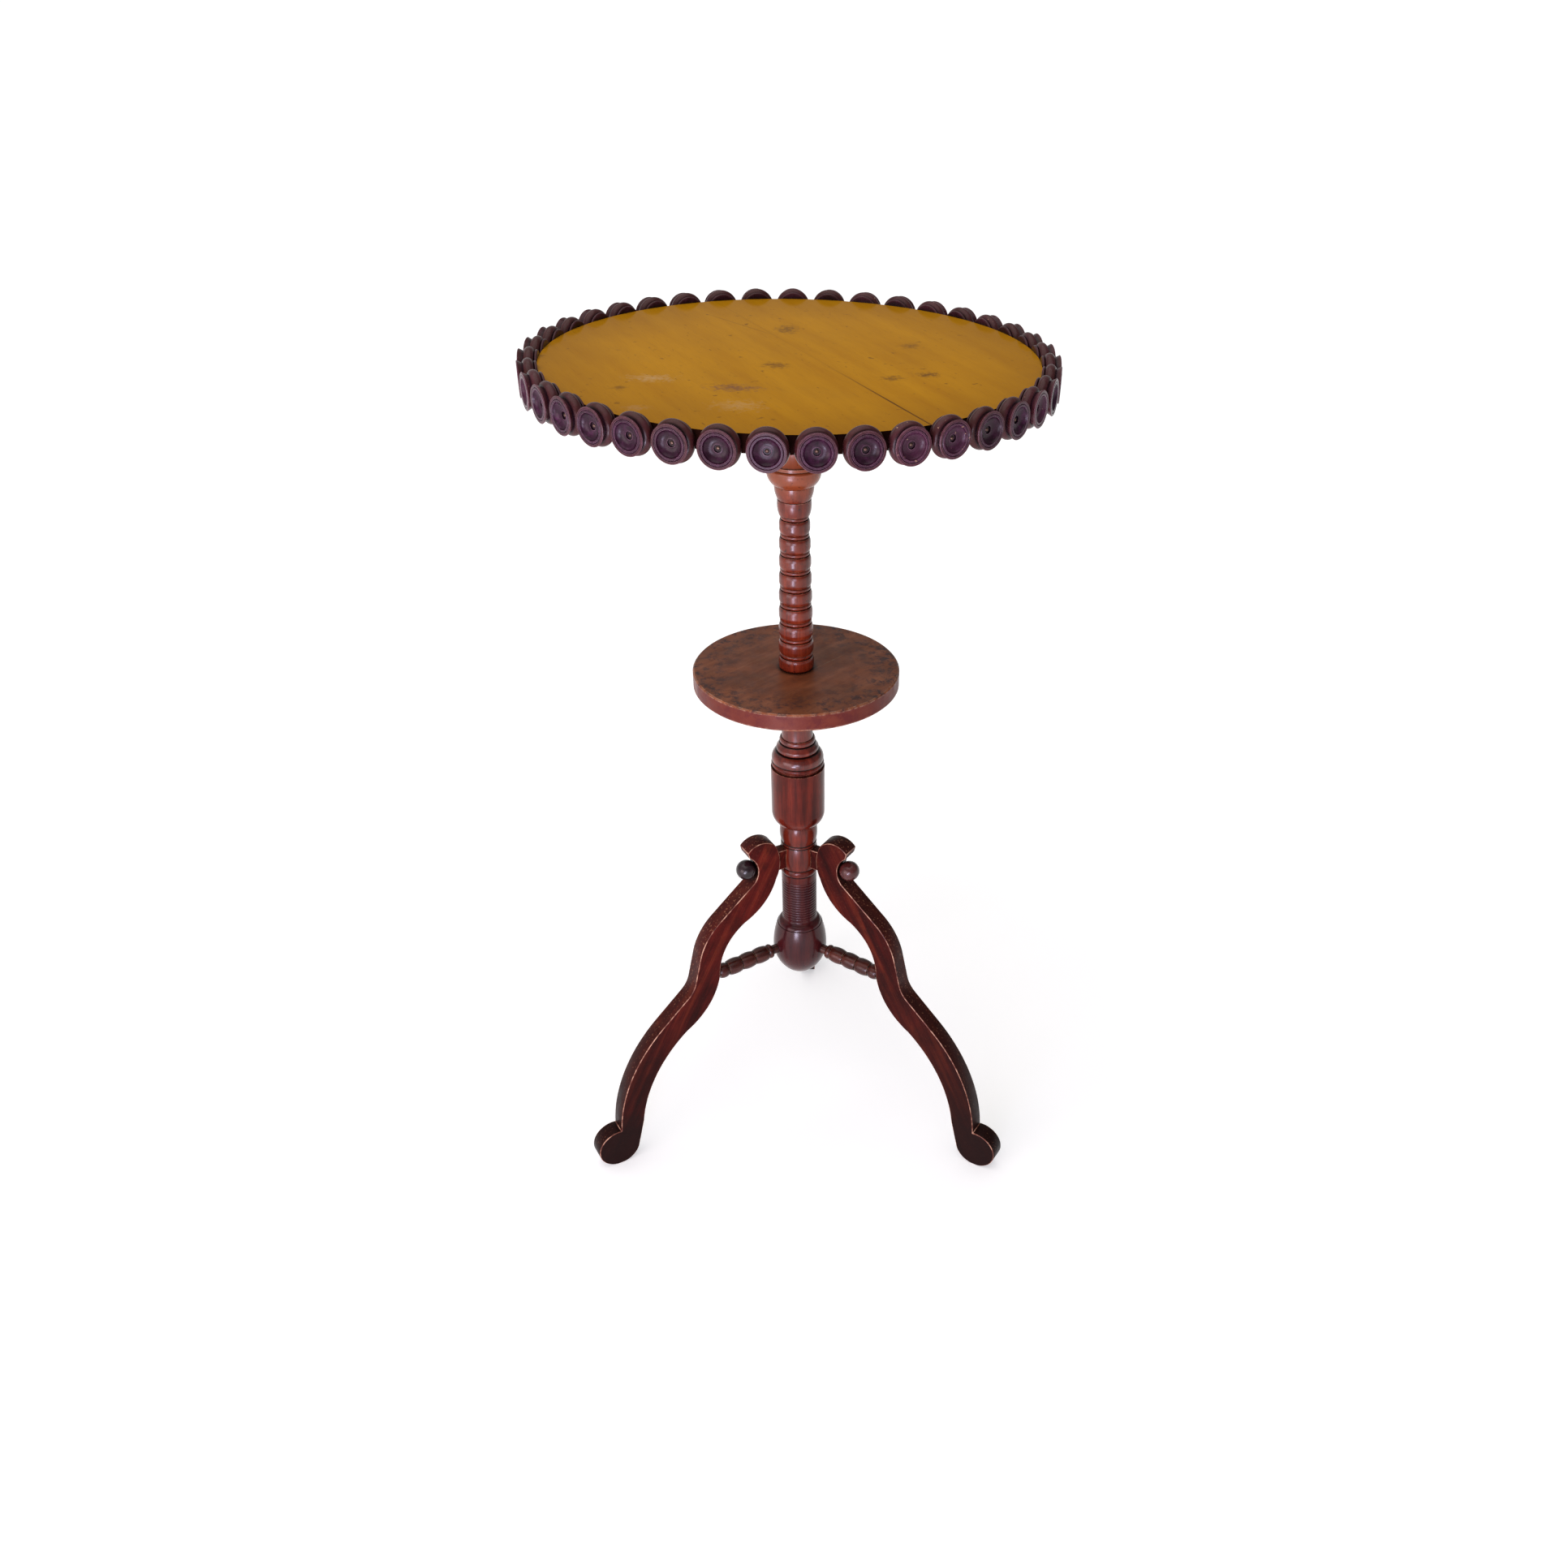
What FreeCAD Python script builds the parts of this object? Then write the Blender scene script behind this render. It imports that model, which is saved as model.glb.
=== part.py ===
import FreeCAD, Part
import math
import os
from types import SimpleNamespace

import Sketcher

# Driving dimensions of the table, in millimetres and degrees. Heights on the legs start at the floor.
SIZES = {
    # Top: two boards that meet at a straight joint beside the middle.
    "top_radius": 187.5,
    "top_thickness": 13.0,
    "joint_offset": 14.0,
    "joint_angle": 27.1,
    # Roundels: turned discs side by side around the edge of the top.
    "roundel_radius": 14.5,
    "roundel_gap": 1.1,
    "roundel_drop": 7.5,
    "roundel_turn": -83.31,
    "roundel_back_radius": 11.6,
    "roundel_ridge_width": 2.2,
    "roundel_ridge_rise": 0.9,
    "roundel_bead_width": 8.1,
    "roundel_waist_radius": 11.3,
    "roundel_rim_width": 4.2,
    "roundel_rim_radius": 13.2,
    "roundel_rim_ease": 0.5,
    "roundel_line_radius": 10.9,
    "roundel_line_depth": 0.5,
    "roundel_line_width": 0.9,
    "roundel_land_radius": 9.4,
    "roundel_dish_radius": 8.7,
    "roundel_dish_step": 1.3,
    "roundel_dish_depth": 2.2,
    "roundel_dish_hollow": 0.8,
    "roundel_recess_radius": 2.8,
    "roundel_recess_depth": 1.1,
    # Pins through the roundels into the edge of the top.
    "pin_radius": 0.8,
    "pin_head_radius": 1.4,
    "pin_head_height": 0.9,
    "pin_head_rise": 0.3,
    "pin_bite": 9.0,
    # Cleat under the top and its screws.
    "cleat_radius": 48.0,
    "cleat_thickness": 16.0,
    "cleat_ease": 4.0,
    "screw_circle": 33.0,
    "screw_radius": 2.2,
    "screw_head_radius": 4.4,
    "screw_head_depth": 2.6,
    "screw_bite": 8.0,
    "screw_point": 3.0,
    # Upper column, from the shelf to the cleat.
    "spigot_radius": 9.0,
    "spigot_depth": 22.0,
    "barrel_height": 11.2,
    "barrel_ease_height": 3.6,
    "barrel_ease": 0.9,
    "barrel_ease_rise": 0.23,
    "barrel_low_radius": 15.0,
    "barrel_high_radius": 12.6,
    "barrel_ring_height": 3.8,
    "barrel_ring_rise": 0.9,
    "barrel_groove": 1.9,
    "first_cup_height": 12.2,
    "first_cup_radius": 13.7,
    "first_cup_rise": 0.7,
    "second_cup_height": 11.8,
    "second_cup_foot_radius": 13.2,
    "second_cup_radius": 16.1,
    "second_cup_rise": 0.8,
    "bowl_foot_radius": 15.9,
    "bowl_height": 12.5,
    "bowl_radius": 21.9,
    "bowl_rise": 1.9,
    "bowl_lip_height": 3.0,
    "bowl_lip_rise": 0.9,
    "bowl_groove_radius": 19.6,
    "fillet_height": 2.4,
    "fillet_radius": 20.6,
    "neck_foot_radius": 19.2,
    "neck_height": 44.5,
    "neck_hollow": 5.5,
    "neck_top_radius": 23.0,
    "capital_height": 6.1,
    "capital_radius": 25.0,
    "tenon_radius": 11.0,
    "tenon_length": 12.0,
    # Shelf half way up.
    "shelf_radius": 88.0,
    "shelf_thickness": 15.0,
    "shelf_ease": 1.2,
    # Lower column, in order from the ball drop up to the shelf.
    "ball_radius": 25.6,
    "ball_centre_drop": 2.4,
    "ball_drop": 33.5,
    "ball_drop_rise": 6.0,
    "ball_tip_radius": 4.0,
    "ball_tip_rise": 1.2,
    "ball_shoulder_height": 25.0,
    "ball_shoulder_radius": 21.4,
    "ball_shoulder_rise": 1.0,
    "ball_collar_height": 5.0,
    "ball_collar_foot_radius": 20.8,
    "ball_collar_radius": 17.4,
    "ball_collar_rise": 0.8,
    "reed_foot_height": 4.0,
    "reed_foot_hollow": 0.7,
    "reed_radius": 16.3,
    "reed_pitch": 2.86,
    "reed_groove": 0.55,
    "band_height": 7.5,
    "band_radius": 16.4,
    "ring_height": 7.2,
    "ring_radius": 17.4,
    "ring_groove": 1.3,
    "low_barrel_height": 24.1,
    "low_barrel_radius": 17.6,
    "stem_ring_height": 3.0,
    "stem_ring_radius": 16.6,
    "stem_ring_groove": 1.0,
    "high_barrel_height": 19.5,
    "high_barrel_radius": 17.3,
    "stem_groove": 1.4,
    "drum_foot_height": 13.0,
    "drum_foot_radius": 17.6,
    "drum_foot_rise": 1.7,
    "drum_height": 45.8,
    "drum_radius": 24.0,
    "drum_groove_height": 1.7,
    "drum_groove_radius": 22.0,
    "drum_ring_height": 5.2,
    "drum_ring_radius": 23.5,
    "shoulder_foot_radius": 22.8,
    "shoulder_height": 9.7,
    "shoulder_radius": 19.6,
    "shoulder_rise": 1.5,
    "upper_ring_height": 5.4,
    "upper_ring_radius": 18.8,
    "upper_ring_groove": 1.0,
    "step_height": 2.7,
    "step_radius": 16.2,
    "collar_height": 5.3,
    "collar_radius": 15.9,
    "collar_groove": 1.0,
    "throat_height": 45.0,
    "throat_foot_radius": 14.0,
    "throat_hollow": 2.6,
    "throat_top_radius": 20.0,
    "seat_height": 7.0,
    "seat_radius": 22.0,
    # Legs: flat shaped boards with a hooked top and a disc foot.
    "leg_thickness": 17.1,
    "nape_reach": 28.5,
    "nape_height": 316.5,
    "crown_rise": 6.5,
    "beak_reach": 56.0,
    "beak_height": 316.0,
    "chin_reach": 54.5,
    "chin_height": 310.5,
    "notch_hollow": 6.3,
    "notch_foot_reach": 50.5,
    "notch_foot_height": 281.5,
    "hip_reach": 89.0,
    "hip_height": 248.0,
    "hip_rise": 3.3,
    "hip_foot_reach": 109.0,
    "hip_foot_height": 212.0,
    "elbow_reach": 114.6,
    "elbow_height": 188.5,
    "elbow_hollow": 1.2,
    "elbow_foot_reach": 123.0,
    "elbow_foot_height": 174.2,
    "shin_reach": 151.0,
    "shin_height": 148.2,
    "shin_rise": 11.5,
    "ankle_setback": 3.5,
    "foot_reach": 204.5,
    "foot_radius": 20.5,
    "foot_flat": 7.0,
    "foot_join_angle": 13.9,
    "inner_ankle_setback": 27.0,
    "inner_ankle_height": 44.0,
    "calf_hollow": 10.2,
    "inner_calf_reach": 126.0,
    "inner_calf_height": 136.5,
    "inner_elbow_rise": 7.0,
    "inner_elbow_reach": 89.3,
    "inner_elbow_height": 189.5,
    "thigh_hollow": 7.7,
    "inner_thigh_reach": 61.0,
    "inner_thigh_height": 241.5,
    "inner_hip_rise": 5.3,
    "inner_hip_reach": 28.0,
    "inner_hip_height": 280.0,
    "inner_hook_rise": 4.5,
    # Tenons of the legs in the lower column.
    "leg_tenon_thickness": 11.0,
    "leg_tenon_foot": 286.0,
    "leg_tenon_height": 20.0,
    "leg_tenon_end": 7.0,
    # Balls in the notches of the legs.
    "knob_proud": 3.9,
    "knob_rise": 12.0,
    "knob_radius": 9.3,
    "peg_radius": 3.0,
    "peg_length": 9.0,
    # Stretchers: their axes meet on the column's axis and slope down to the legs.
    "stretcher_height": 194.4,
    "stretcher_slope_angle": 4.85,
    "stretcher_fall": 4.9,
    "stretcher_end_radius": 4.5,
    "stretcher_socket": 10.0,
    "stretcher_collar": 5.6,
    "stretcher_ring_width": 4.4,
    "stretcher_ring_foot_radius": 6.1,
    "stretcher_ring_rise": 0.9,
    "stretcher_groove_width": 0.9,
    "stretcher_groove_radius": 5.9,
    "stretcher_bead_radius": 7.9,
    "stretcher_bead_rise": 1.0,
    "stretcher_small_width": 9.0,
    "stretcher_small_rise": 1.2,
    "stretcher_neck": 1.7,
    # Slack all round where one piece enters another.
    "fit": 0.1,
}

# Counts that belong to the turned patterns.
BARREL_COUNT = 9
REED_COUNT = 15
STRETCHER_BEAD_COUNT = 3
SCREW_COUNT = 4
FULL_TURN = 360
SCREW_TURN = FULL_TURN / SCREW_COUNT
# Where each leg points, in degrees from +X.
LEG_TURNS = {"left": 210, "right": 330, "back": 90}


class Size:
    """A number, and the expression on the sheet that gives it."""

    def __init__(self, value, text, is_sum=False):
        self.value = value
        self.text = text
        self.is_sum = is_sum

    def factor(self):
        return f"({self.text})" if self.is_sum else self.text

    def __add__(self, other):
        other = as_size(other)
        return Size(self.value + other.value, f"{self.text} + {other.text}", True)

    def __sub__(self, other):
        other = as_size(other)
        return Size(self.value - other.value, f"{self.text} - {other.factor()}", True)

    def __mul__(self, other):
        other = as_size(other)
        return Size(self.value * other.value, f"({self.factor()} * {other.factor()})")

    def __truediv__(self, other):
        other = as_size(other)
        return Size(self.value / other.value, f"({self.factor()} / {other.factor()})")

    def __neg__(self):
        return Size(-self.value, f"(0 - {self.factor()})")


def as_size(number):
    return number if isinstance(number, Size) else Size(float(number), f"({number})")


def root(size):
    return Size(math.sqrt(size.value), f"sqrt({size.text})")


def cosine(size):
    return Size(math.cos(math.radians(size.value)), f"cos({size.text})")


def sine(size):
    return Size(math.sin(math.radians(size.value)), f"sin({size.text})")


def whole(size):
    return Size(math.floor(size.value), f"floor({size.text})")


def leg_of(hypotenuse, other_side):
    """The remaining side of a right-angled triangle."""
    return root(hypotenuse * hypotenuse - other_side * other_side)


PI = Size(math.pi, "pi")
ZERO = Size(0.0, "0")
STRAIGHT = ZERO
# The two ends of a sketched edge.
START = 1
END = 2

doc = FreeCAD.newDocument("wine_table")
sheet = doc.addObject("Spreadsheet::Sheet", "sizes")
for row, (alias, number) in enumerate(SIZES.items(), 1):
    sheet.set(f"A{row}", alias)
    sheet.set(f"B{row}", str(number))
    sheet.setAlias(f"B{row}", alias)
doc.recompute()
size = SimpleNamespace(**{alias: Size(number, f"sizes.{alias}") for alias, number in SIZES.items()})
pieces = []


def new_piece(label, turn=ZERO, reach=ZERO, height=ZERO):
    """A body swung round the table's axis by turn, at reach from it and height above the floor."""
    body = doc.addObject("PartDesign::Body", label)
    body.Label = label
    body.Placement = FreeCAD.Placement(
        FreeCAD.Vector(), FreeCAD.Rotation(FreeCAD.Vector(0, 0, 1), turn.value)
    )
    body.setExpression("Placement.Rotation.Angle", turn.text)
    body.setExpression("Placement.Base.x", (reach * cosine(turn)).text)
    body.setExpression("Placement.Base.y", (reach * sine(turn)).text)
    body.setExpression("Placement.Base.z", height.text)
    pieces.append(body)
    return body


def origin_feature(body, role):
    return next(feature for feature in body.Origin.OriginFeatures if feature.Role == role)


def new_sketch(body, name, plane, across=ZERO, up=ZERO, tilt=ZERO):
    """An empty sketch on one of the body's own planes, moved across and up and tilted in that plane."""
    sketch = body.newObject("Sketcher::SketchObject", f"{body.Name}_{name}")
    sketch.AttachmentSupport = [(origin_feature(body, plane), "")]
    sketch.MapMode = "FlatFace"
    sketch.setExpression("AttachmentOffset.Base.x", across.text)
    sketch.setExpression("AttachmentOffset.Base.y", up.text)
    sketch.setExpression("AttachmentOffset.Rotation.Angle", tilt.text)
    return sketch


def bend_radius(start, end, rise):
    """Radius of the arc that joins two points and stands off their chord by rise."""
    run = end[0] - start[0]
    climb = end[1] - start[1]
    return (run * run + climb * climb) / (rise * 8) + rise / 2


def edge_between(start, end, rise):
    """A line, or an arc that bulges to the right of the way from start to end, or to the left if rise < 0.

    Gives the edge and which of its ends lies on start.
    """
    first = FreeCAD.Vector(start[0].value, start[1].value, 0)
    last = FreeCAD.Vector(end[0].value, end[1].value, 0)
    if rise is STRAIGHT:
        return Part.LineSegment(first, last), START
    radius = abs(bend_radius(start, end, rise).value)
    along = last - first
    outward = FreeCAD.Vector(along.y, -along.x, 0) / along.Length
    side = math.copysign(1, rise.value)
    centre = (first + last) / 2 + outward * (rise.value - side * radius)
    ends = (first, last) if side > 0 else (last, first)
    angles = [math.atan2(point.y - centre.y, point.x - centre.x) for point in ends]
    if angles[1] < angles[0]:
        angles[1] += 2 * math.pi
    circle = Part.Circle(centre, FreeCAD.Vector(0, 0, 1), radius)
    return Part.ArcOfCircle(circle, *angles), START if side > 0 else END


def draw(body, name, plane, points, across=ZERO, up=ZERO, tilt=ZERO):
    """Sketch a closed outline. Each point is (x, y, rise of the edge that leaves it), anticlockwise."""
    sketch = new_sketch(body, name, plane, across, up, tilt)
    ahead = points[1:] + points[:1]
    edges = [edge_between(here, there, here[2]) for here, there in zip(points, ahead)]
    sketch.addGeometry([edge for edge, end in edges], False)
    rules = []
    bindings = []
    for index, (here, there) in enumerate(zip(points, ahead)):
        end = edges[index][1]
        following = (index + 1) % len(points)
        far_end = END if end == START else START
        rules.append(Sketcher.Constraint("Coincident", index, far_end, following, edges[following][1]))
        for kind, axis, place in (("DistanceX", -2, here[0]), ("DistanceY", -1, here[1])):
            if place is ZERO:
                rules.append(Sketcher.Constraint("PointOnObject", index, end, axis))
            else:
                bindings.append((len(rules), place))
                rules.append(Sketcher.Constraint(kind, index, end, place.value))
        if here[2] is not STRAIGHT:
            radius = bend_radius(here, there, here[2] if here[2].value > 0 else -here[2])
            bindings.append((len(rules), radius))
            rules.append(Sketcher.Constraint("Radius", index, radius.value))
    sketch.addConstraint(rules)
    for number, place in bindings:
        sketch.setExpression(f"Constraints[{number}]", place.text)
    return sketch


def draw_circles(body, name, plane, circles):
    """Sketch circles, each given as (x, y, radius)."""
    sketch = new_sketch(body, name, plane)
    for index, (across, up, radius) in enumerate(circles):
        centre = FreeCAD.Vector(across.value, up.value, 0)
        sketch.addGeometry(Part.Circle(centre, FreeCAD.Vector(0, 0, 1), radius.value), False)
        for kind, *where, place in (
            ("DistanceX", index, 3, across),
            ("DistanceY", index, 3, up),
            ("Radius", index, radius),
        ):
            number = sketch.addConstraint(Sketcher.Constraint(kind, *where, place.value))
            sketch.setExpression(f"Constraints[{number}]", place.text)
    return sketch


def turn_solid(body, sketch, axis, kind="Revolution"):
    """Turn a sketch all the way round one of its own axes, to add material or, as a Groove, to remove it."""
    turned = body.newObject(f"PartDesign::{kind}", f"{sketch.Name}_{kind.lower()}")
    turned.Profile = sketch
    turned.ReferenceAxis = (sketch, [axis])
    turned.Angle = FULL_TURN
    return turned


def extrude(body, sketch, length, kind="Pad", both_sides=True):
    """Give a sketch a thickness, to add material or, as a Pocket, to remove it."""
    solid = body.newObject(f"PartDesign::{kind}", f"{sketch.Name}_{kind.lower()}")
    solid.Profile = sketch
    solid.SideType = "Symmetric" if both_sides else "One side"
    solid.setExpression("Length", length.text)
    return solid


def repeat_round(body, features, count):
    """Copy features evenly round the body's vertical axis."""
    pattern = body.newObject("PartDesign::PolarPattern", f"{features[-1].Name}_round")
    pattern.Originals = features
    pattern.Axis = (origin_feature(body, "Z_Axis"), [""])
    pattern.Angle = FULL_TURN
    pattern.setExpression("Occurrences", count.text)
    body.Tip = pattern
    return pattern


class Turning:
    """The outline of a turned piece, built up from its foot along the axis."""

    def __init__(self, radius, height):
        self.height = height
        self.points = [(radius, height, STRAIGHT)]

    def step(self, radius):
        """A flat shoulder out or in to another radius."""
        self.points.append((radius, self.height, STRAIGHT))

    def rise(self, length, radius, bulge=STRAIGHT):
        """A stretch of the given length that ends at radius, straight, bulging, or hollow if bulge < 0."""
        across, up, straight = self.points[-1]
        self.points[-1] = (across, up, bulge)
        self.height = self.height + length
        self.points.append((radius, self.height, STRAIGHT))

    def bead(self, length, radius, crown):
        """A rounded bead that starts and ends at radius and stands out to the crown radius."""
        self.step(radius)
        self.rise(length, radius, crown - radius)

    def closed(self):
        """The outline with its ends joined along the axis."""
        foot = self.points[0]
        ends = [(ZERO, self.height, STRAIGHT), (ZERO, foot[1], STRAIGHT)]
        return self.points + ends


def sum_of(*sizes):
    total = sizes[0]
    for part in sizes[1:]:
        total = total + part
    return total


# Lower column, with its own zero where the stretchers' axes meet.
def lower_column_outline():
    foot = -(size.ball_centre_drop + size.ball_drop)
    turning = Turning(size.ball_tip_radius, foot)
    turning.rise(size.ball_drop, size.ball_radius, size.ball_drop_rise)
    turning.rise(size.ball_shoulder_height, size.ball_shoulder_radius, size.ball_shoulder_rise)
    turning.step(size.ball_collar_foot_radius)
    turning.rise(size.ball_collar_height, size.ball_collar_radius, size.ball_collar_rise)
    reed_floor = size.reed_radius - size.reed_groove
    turning.rise(size.reed_foot_height, reed_floor, -size.reed_foot_hollow)
    for reed in range(REED_COUNT):
        turning.rise(size.reed_pitch, reed_floor, size.reed_groove)
    turning.step(size.band_radius)
    turning.rise(size.band_height, size.band_radius)
    turning.bead(size.ring_height, size.ring_radius - size.ring_groove, size.ring_radius)
    low_waist = size.low_barrel_radius - size.stem_groove
    turning.bead(size.low_barrel_height, low_waist, size.low_barrel_radius)
    ring_waist = size.stem_ring_radius - size.stem_ring_groove
    turning.bead(size.stem_ring_height, ring_waist, size.stem_ring_radius)
    high_waist = size.high_barrel_radius - size.stem_groove
    turning.bead(size.high_barrel_height, high_waist, size.high_barrel_radius)
    turning.step(size.drum_foot_radius)
    turning.rise(size.drum_foot_height, size.drum_radius, size.drum_foot_rise)
    turning.rise(size.drum_height, size.drum_radius)
    turning.step(size.drum_groove_radius)
    turning.rise(size.drum_groove_height, size.drum_groove_radius)
    drum_ring_rise = size.drum_ring_radius - size.drum_groove_radius
    turning.rise(size.drum_ring_height, size.drum_groove_radius, drum_ring_rise)
    turning.step(size.shoulder_foot_radius)
    turning.rise(size.shoulder_height, size.shoulder_radius, size.shoulder_rise)
    ring_floor = size.upper_ring_radius - size.upper_ring_groove
    turning.bead(size.upper_ring_height, ring_floor, size.upper_ring_radius)
    turning.rise(size.step_height, size.step_radius)
    collar_floor = size.collar_radius - size.collar_groove
    turning.bead(size.collar_height, collar_floor, size.collar_radius)
    turning.step(size.throat_foot_radius)
    turning.rise(size.throat_height, size.throat_top_radius, -size.throat_hollow)
    turning.step(size.seat_radius)
    turning.rise(size.seat_height, size.seat_radius)
    return turning


lower_outline = lower_column_outline()
shelf_underside = size.stretcher_height + lower_outline.height
shelf_top = shelf_underside + size.shelf_thickness


def make_lower_column():
    body = new_piece("lower_column", as_size(LEG_TURNS["back"]), ZERO, size.stretcher_height)
    tip = (ZERO, lower_outline.points[0][1] - size.ball_tip_rise, STRAIGHT)
    socket_radius = size.spigot_radius + size.fit
    socket_floor = lower_outline.height - size.spigot_depth - size.fit
    socket = [
        (socket_radius, lower_outline.height, STRAIGHT),
        (socket_radius, socket_floor, STRAIGHT),
        (ZERO, socket_floor, STRAIGHT),
    ]
    outline = draw(body, "outline", "XZ_Plane", lower_outline.points + socket + [tip])
    turn_solid(body, outline, "V_Axis")
    mortise_foot = size.leg_tenon_foot - size.fit - size.stretcher_height
    mortise_head = mortise_foot + size.leg_tenon_height + size.fit * 2
    mortise = rectangle(size.leg_tenon_end - size.fit, mortise_foot, size.drum_radius, mortise_head)
    mortise_cut = extrude(
        body,
        draw(body, "mortise", "XZ_Plane", mortise),
        size.leg_tenon_thickness + size.fit * 2,
        "Pocket",
    )
    bore = rectangle(
        size.ball_radius - size.stretcher_socket - size.fit,
        ZERO,
        size.ball_radius + size.ball_radius,
        size.stretcher_end_radius + size.fit,
    )
    bore_sketch = draw(body, "bore", "XZ_Plane", bore, tilt=-size.stretcher_slope_angle)
    bore_cut = turn_solid(body, bore_sketch, "H_Axis", "Groove")
    repeat_round(body, [mortise_cut, bore_cut], as_size(len(LEG_TURNS)))


def rectangle(low_x, low_y, high_x, high_y):
    return [
        (low_x, low_y, STRAIGHT),
        (high_x, low_y, STRAIGHT),
        (high_x, high_y, STRAIGHT),
        (low_x, high_y, STRAIGHT),
    ]


def make_shelf():
    body = new_piece("shelf", height=shelf_underside)
    hole = size.spigot_radius + size.fit
    rim = size.shelf_radius - size.shelf_ease
    top_arris = size.shelf_thickness - size.shelf_ease
    outline = [
        (hole, ZERO, STRAIGHT),
        (rim, ZERO, STRAIGHT),
        (size.shelf_radius, size.shelf_ease, STRAIGHT),
        (size.shelf_radius, top_arris, STRAIGHT),
        (rim, size.shelf_thickness, STRAIGHT),
        (hole, size.shelf_thickness, STRAIGHT),
    ]
    turn_solid(body, draw(body, "outline", "XZ_Plane", outline), "V_Axis")


# Upper column, with its own zero on top of the shelf.
def upper_column_outline():
    spigot = size.shelf_thickness + size.spigot_depth
    turning = Turning(size.spigot_radius, -spigot)
    turning.rise(spigot, size.spigot_radius)
    shrink = (size.barrel_low_radius - size.barrel_high_radius) / (BARREL_COUNT - 1)
    for barrel in range(BARREL_COUNT):
        crown = size.barrel_low_radius - shrink * barrel
        floor = crown - size.barrel_groove
        end = crown - size.barrel_ease
        turning.step(end)
        turning.rise(size.barrel_ease_height, crown, size.barrel_ease_rise)
        turning.rise(size.barrel_height - size.barrel_ease_height * 2, crown)
        turning.rise(size.barrel_ease_height, end, size.barrel_ease_rise)
        turning.bead(size.barrel_ring_height, floor, floor + size.barrel_ring_rise)
    turning.step(size.barrel_high_radius)
    turning.rise(size.first_cup_height, size.first_cup_radius, size.first_cup_rise)
    turning.step(size.second_cup_foot_radius)
    turning.rise(size.second_cup_height, size.second_cup_radius, size.second_cup_rise)
    turning.step(size.bowl_foot_radius)
    turning.rise(size.bowl_height, size.bowl_radius, size.bowl_rise)
    turning.rise(size.bowl_lip_height, size.bowl_groove_radius, size.bowl_lip_rise)
    turning.step(size.fillet_radius)
    turning.rise(size.fillet_height, size.fillet_radius)
    turning.step(size.neck_foot_radius)
    turning.rise(size.neck_height, size.neck_top_radius, -size.neck_hollow)
    turning.step(size.capital_radius)
    turning.rise(size.capital_height, size.capital_radius)
    return turning


upper_outline = upper_column_outline()
cleat_underside = shelf_top + upper_outline.height
top_underside = cleat_underside + size.cleat_thickness
top_surface = top_underside + size.top_thickness


def make_upper_column():
    body = new_piece("upper_column", height=shelf_top)
    upper_outline.step(size.tenon_radius)
    upper_outline.rise(size.tenon_length, size.tenon_radius)
    turn_solid(body, draw(body, "outline", "XZ_Plane", upper_outline.closed()), "V_Axis")


# Top, with the boards' own +X towards the first roundel.
def make_cleat():
    first_screw = size.joint_angle + SCREW_TURN / 2
    body = new_piece("top_cleat", first_screw, ZERO, cleat_underside)
    hole = size.tenon_radius + size.fit
    rim = size.cleat_radius - size.cleat_ease
    outline = [
        (hole, ZERO, STRAIGHT),
        (rim, ZERO, STRAIGHT),
        (size.cleat_radius, size.cleat_ease, STRAIGHT),
        (size.cleat_radius, size.cleat_thickness, STRAIGHT),
        (hole, size.cleat_thickness, STRAIGHT),
    ]
    turn_solid(body, draw(body, "outline", "XZ_Plane", outline), "V_Axis")
    head = size.screw_head_radius + size.fit
    shank = size.screw_radius + size.fit
    hole_outline = [
        (ZERO, ZERO, STRAIGHT),
        (head, ZERO, STRAIGHT),
        (shank, size.screw_head_depth, STRAIGHT),
        (shank, size.cleat_thickness, STRAIGHT),
        (ZERO, size.cleat_thickness, STRAIGHT),
    ]
    hole_sketch = draw(body, "screw_hole", "XZ_Plane", hole_outline, size.screw_circle)
    hole_cut = turn_solid(body, hole_sketch, "V_Axis", "Groove")
    repeat_round(body, [hole_cut], as_size(SCREW_COUNT))

    screws = new_piece("cleat_screws", first_screw, ZERO, cleat_underside)
    length = size.cleat_thickness + size.screw_bite
    screw_outline = [
        (ZERO, ZERO, STRAIGHT),
        (size.screw_head_radius, ZERO, STRAIGHT),
        (size.screw_radius, size.screw_head_depth, STRAIGHT),
        (size.screw_radius, length - size.screw_point, STRAIGHT),
        (ZERO, length, STRAIGHT),
    ]
    screw_sketch = draw(screws, "outline", "XZ_Plane", screw_outline, size.screw_circle)
    screw = turn_solid(screws, screw_sketch, "V_Axis")
    repeat_round(screws, [screw], as_size(SCREW_COUNT))


roundel_space = size.roundel_radius * 2 + size.roundel_gap
roundel_count = whole(size.top_radius * PI * 2 / roundel_space)
roundel_pitch = as_size(FULL_TURN) / roundel_count
roundel_height = top_surface - size.roundel_drop
recess_depth = sum_of(size.roundel_dish_step, size.roundel_dish_depth, size.roundel_recess_depth)
roundel_depth = sum_of(size.roundel_ridge_width, size.roundel_bead_width, size.roundel_rim_width)
pin_seat = roundel_depth - recess_depth


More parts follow.
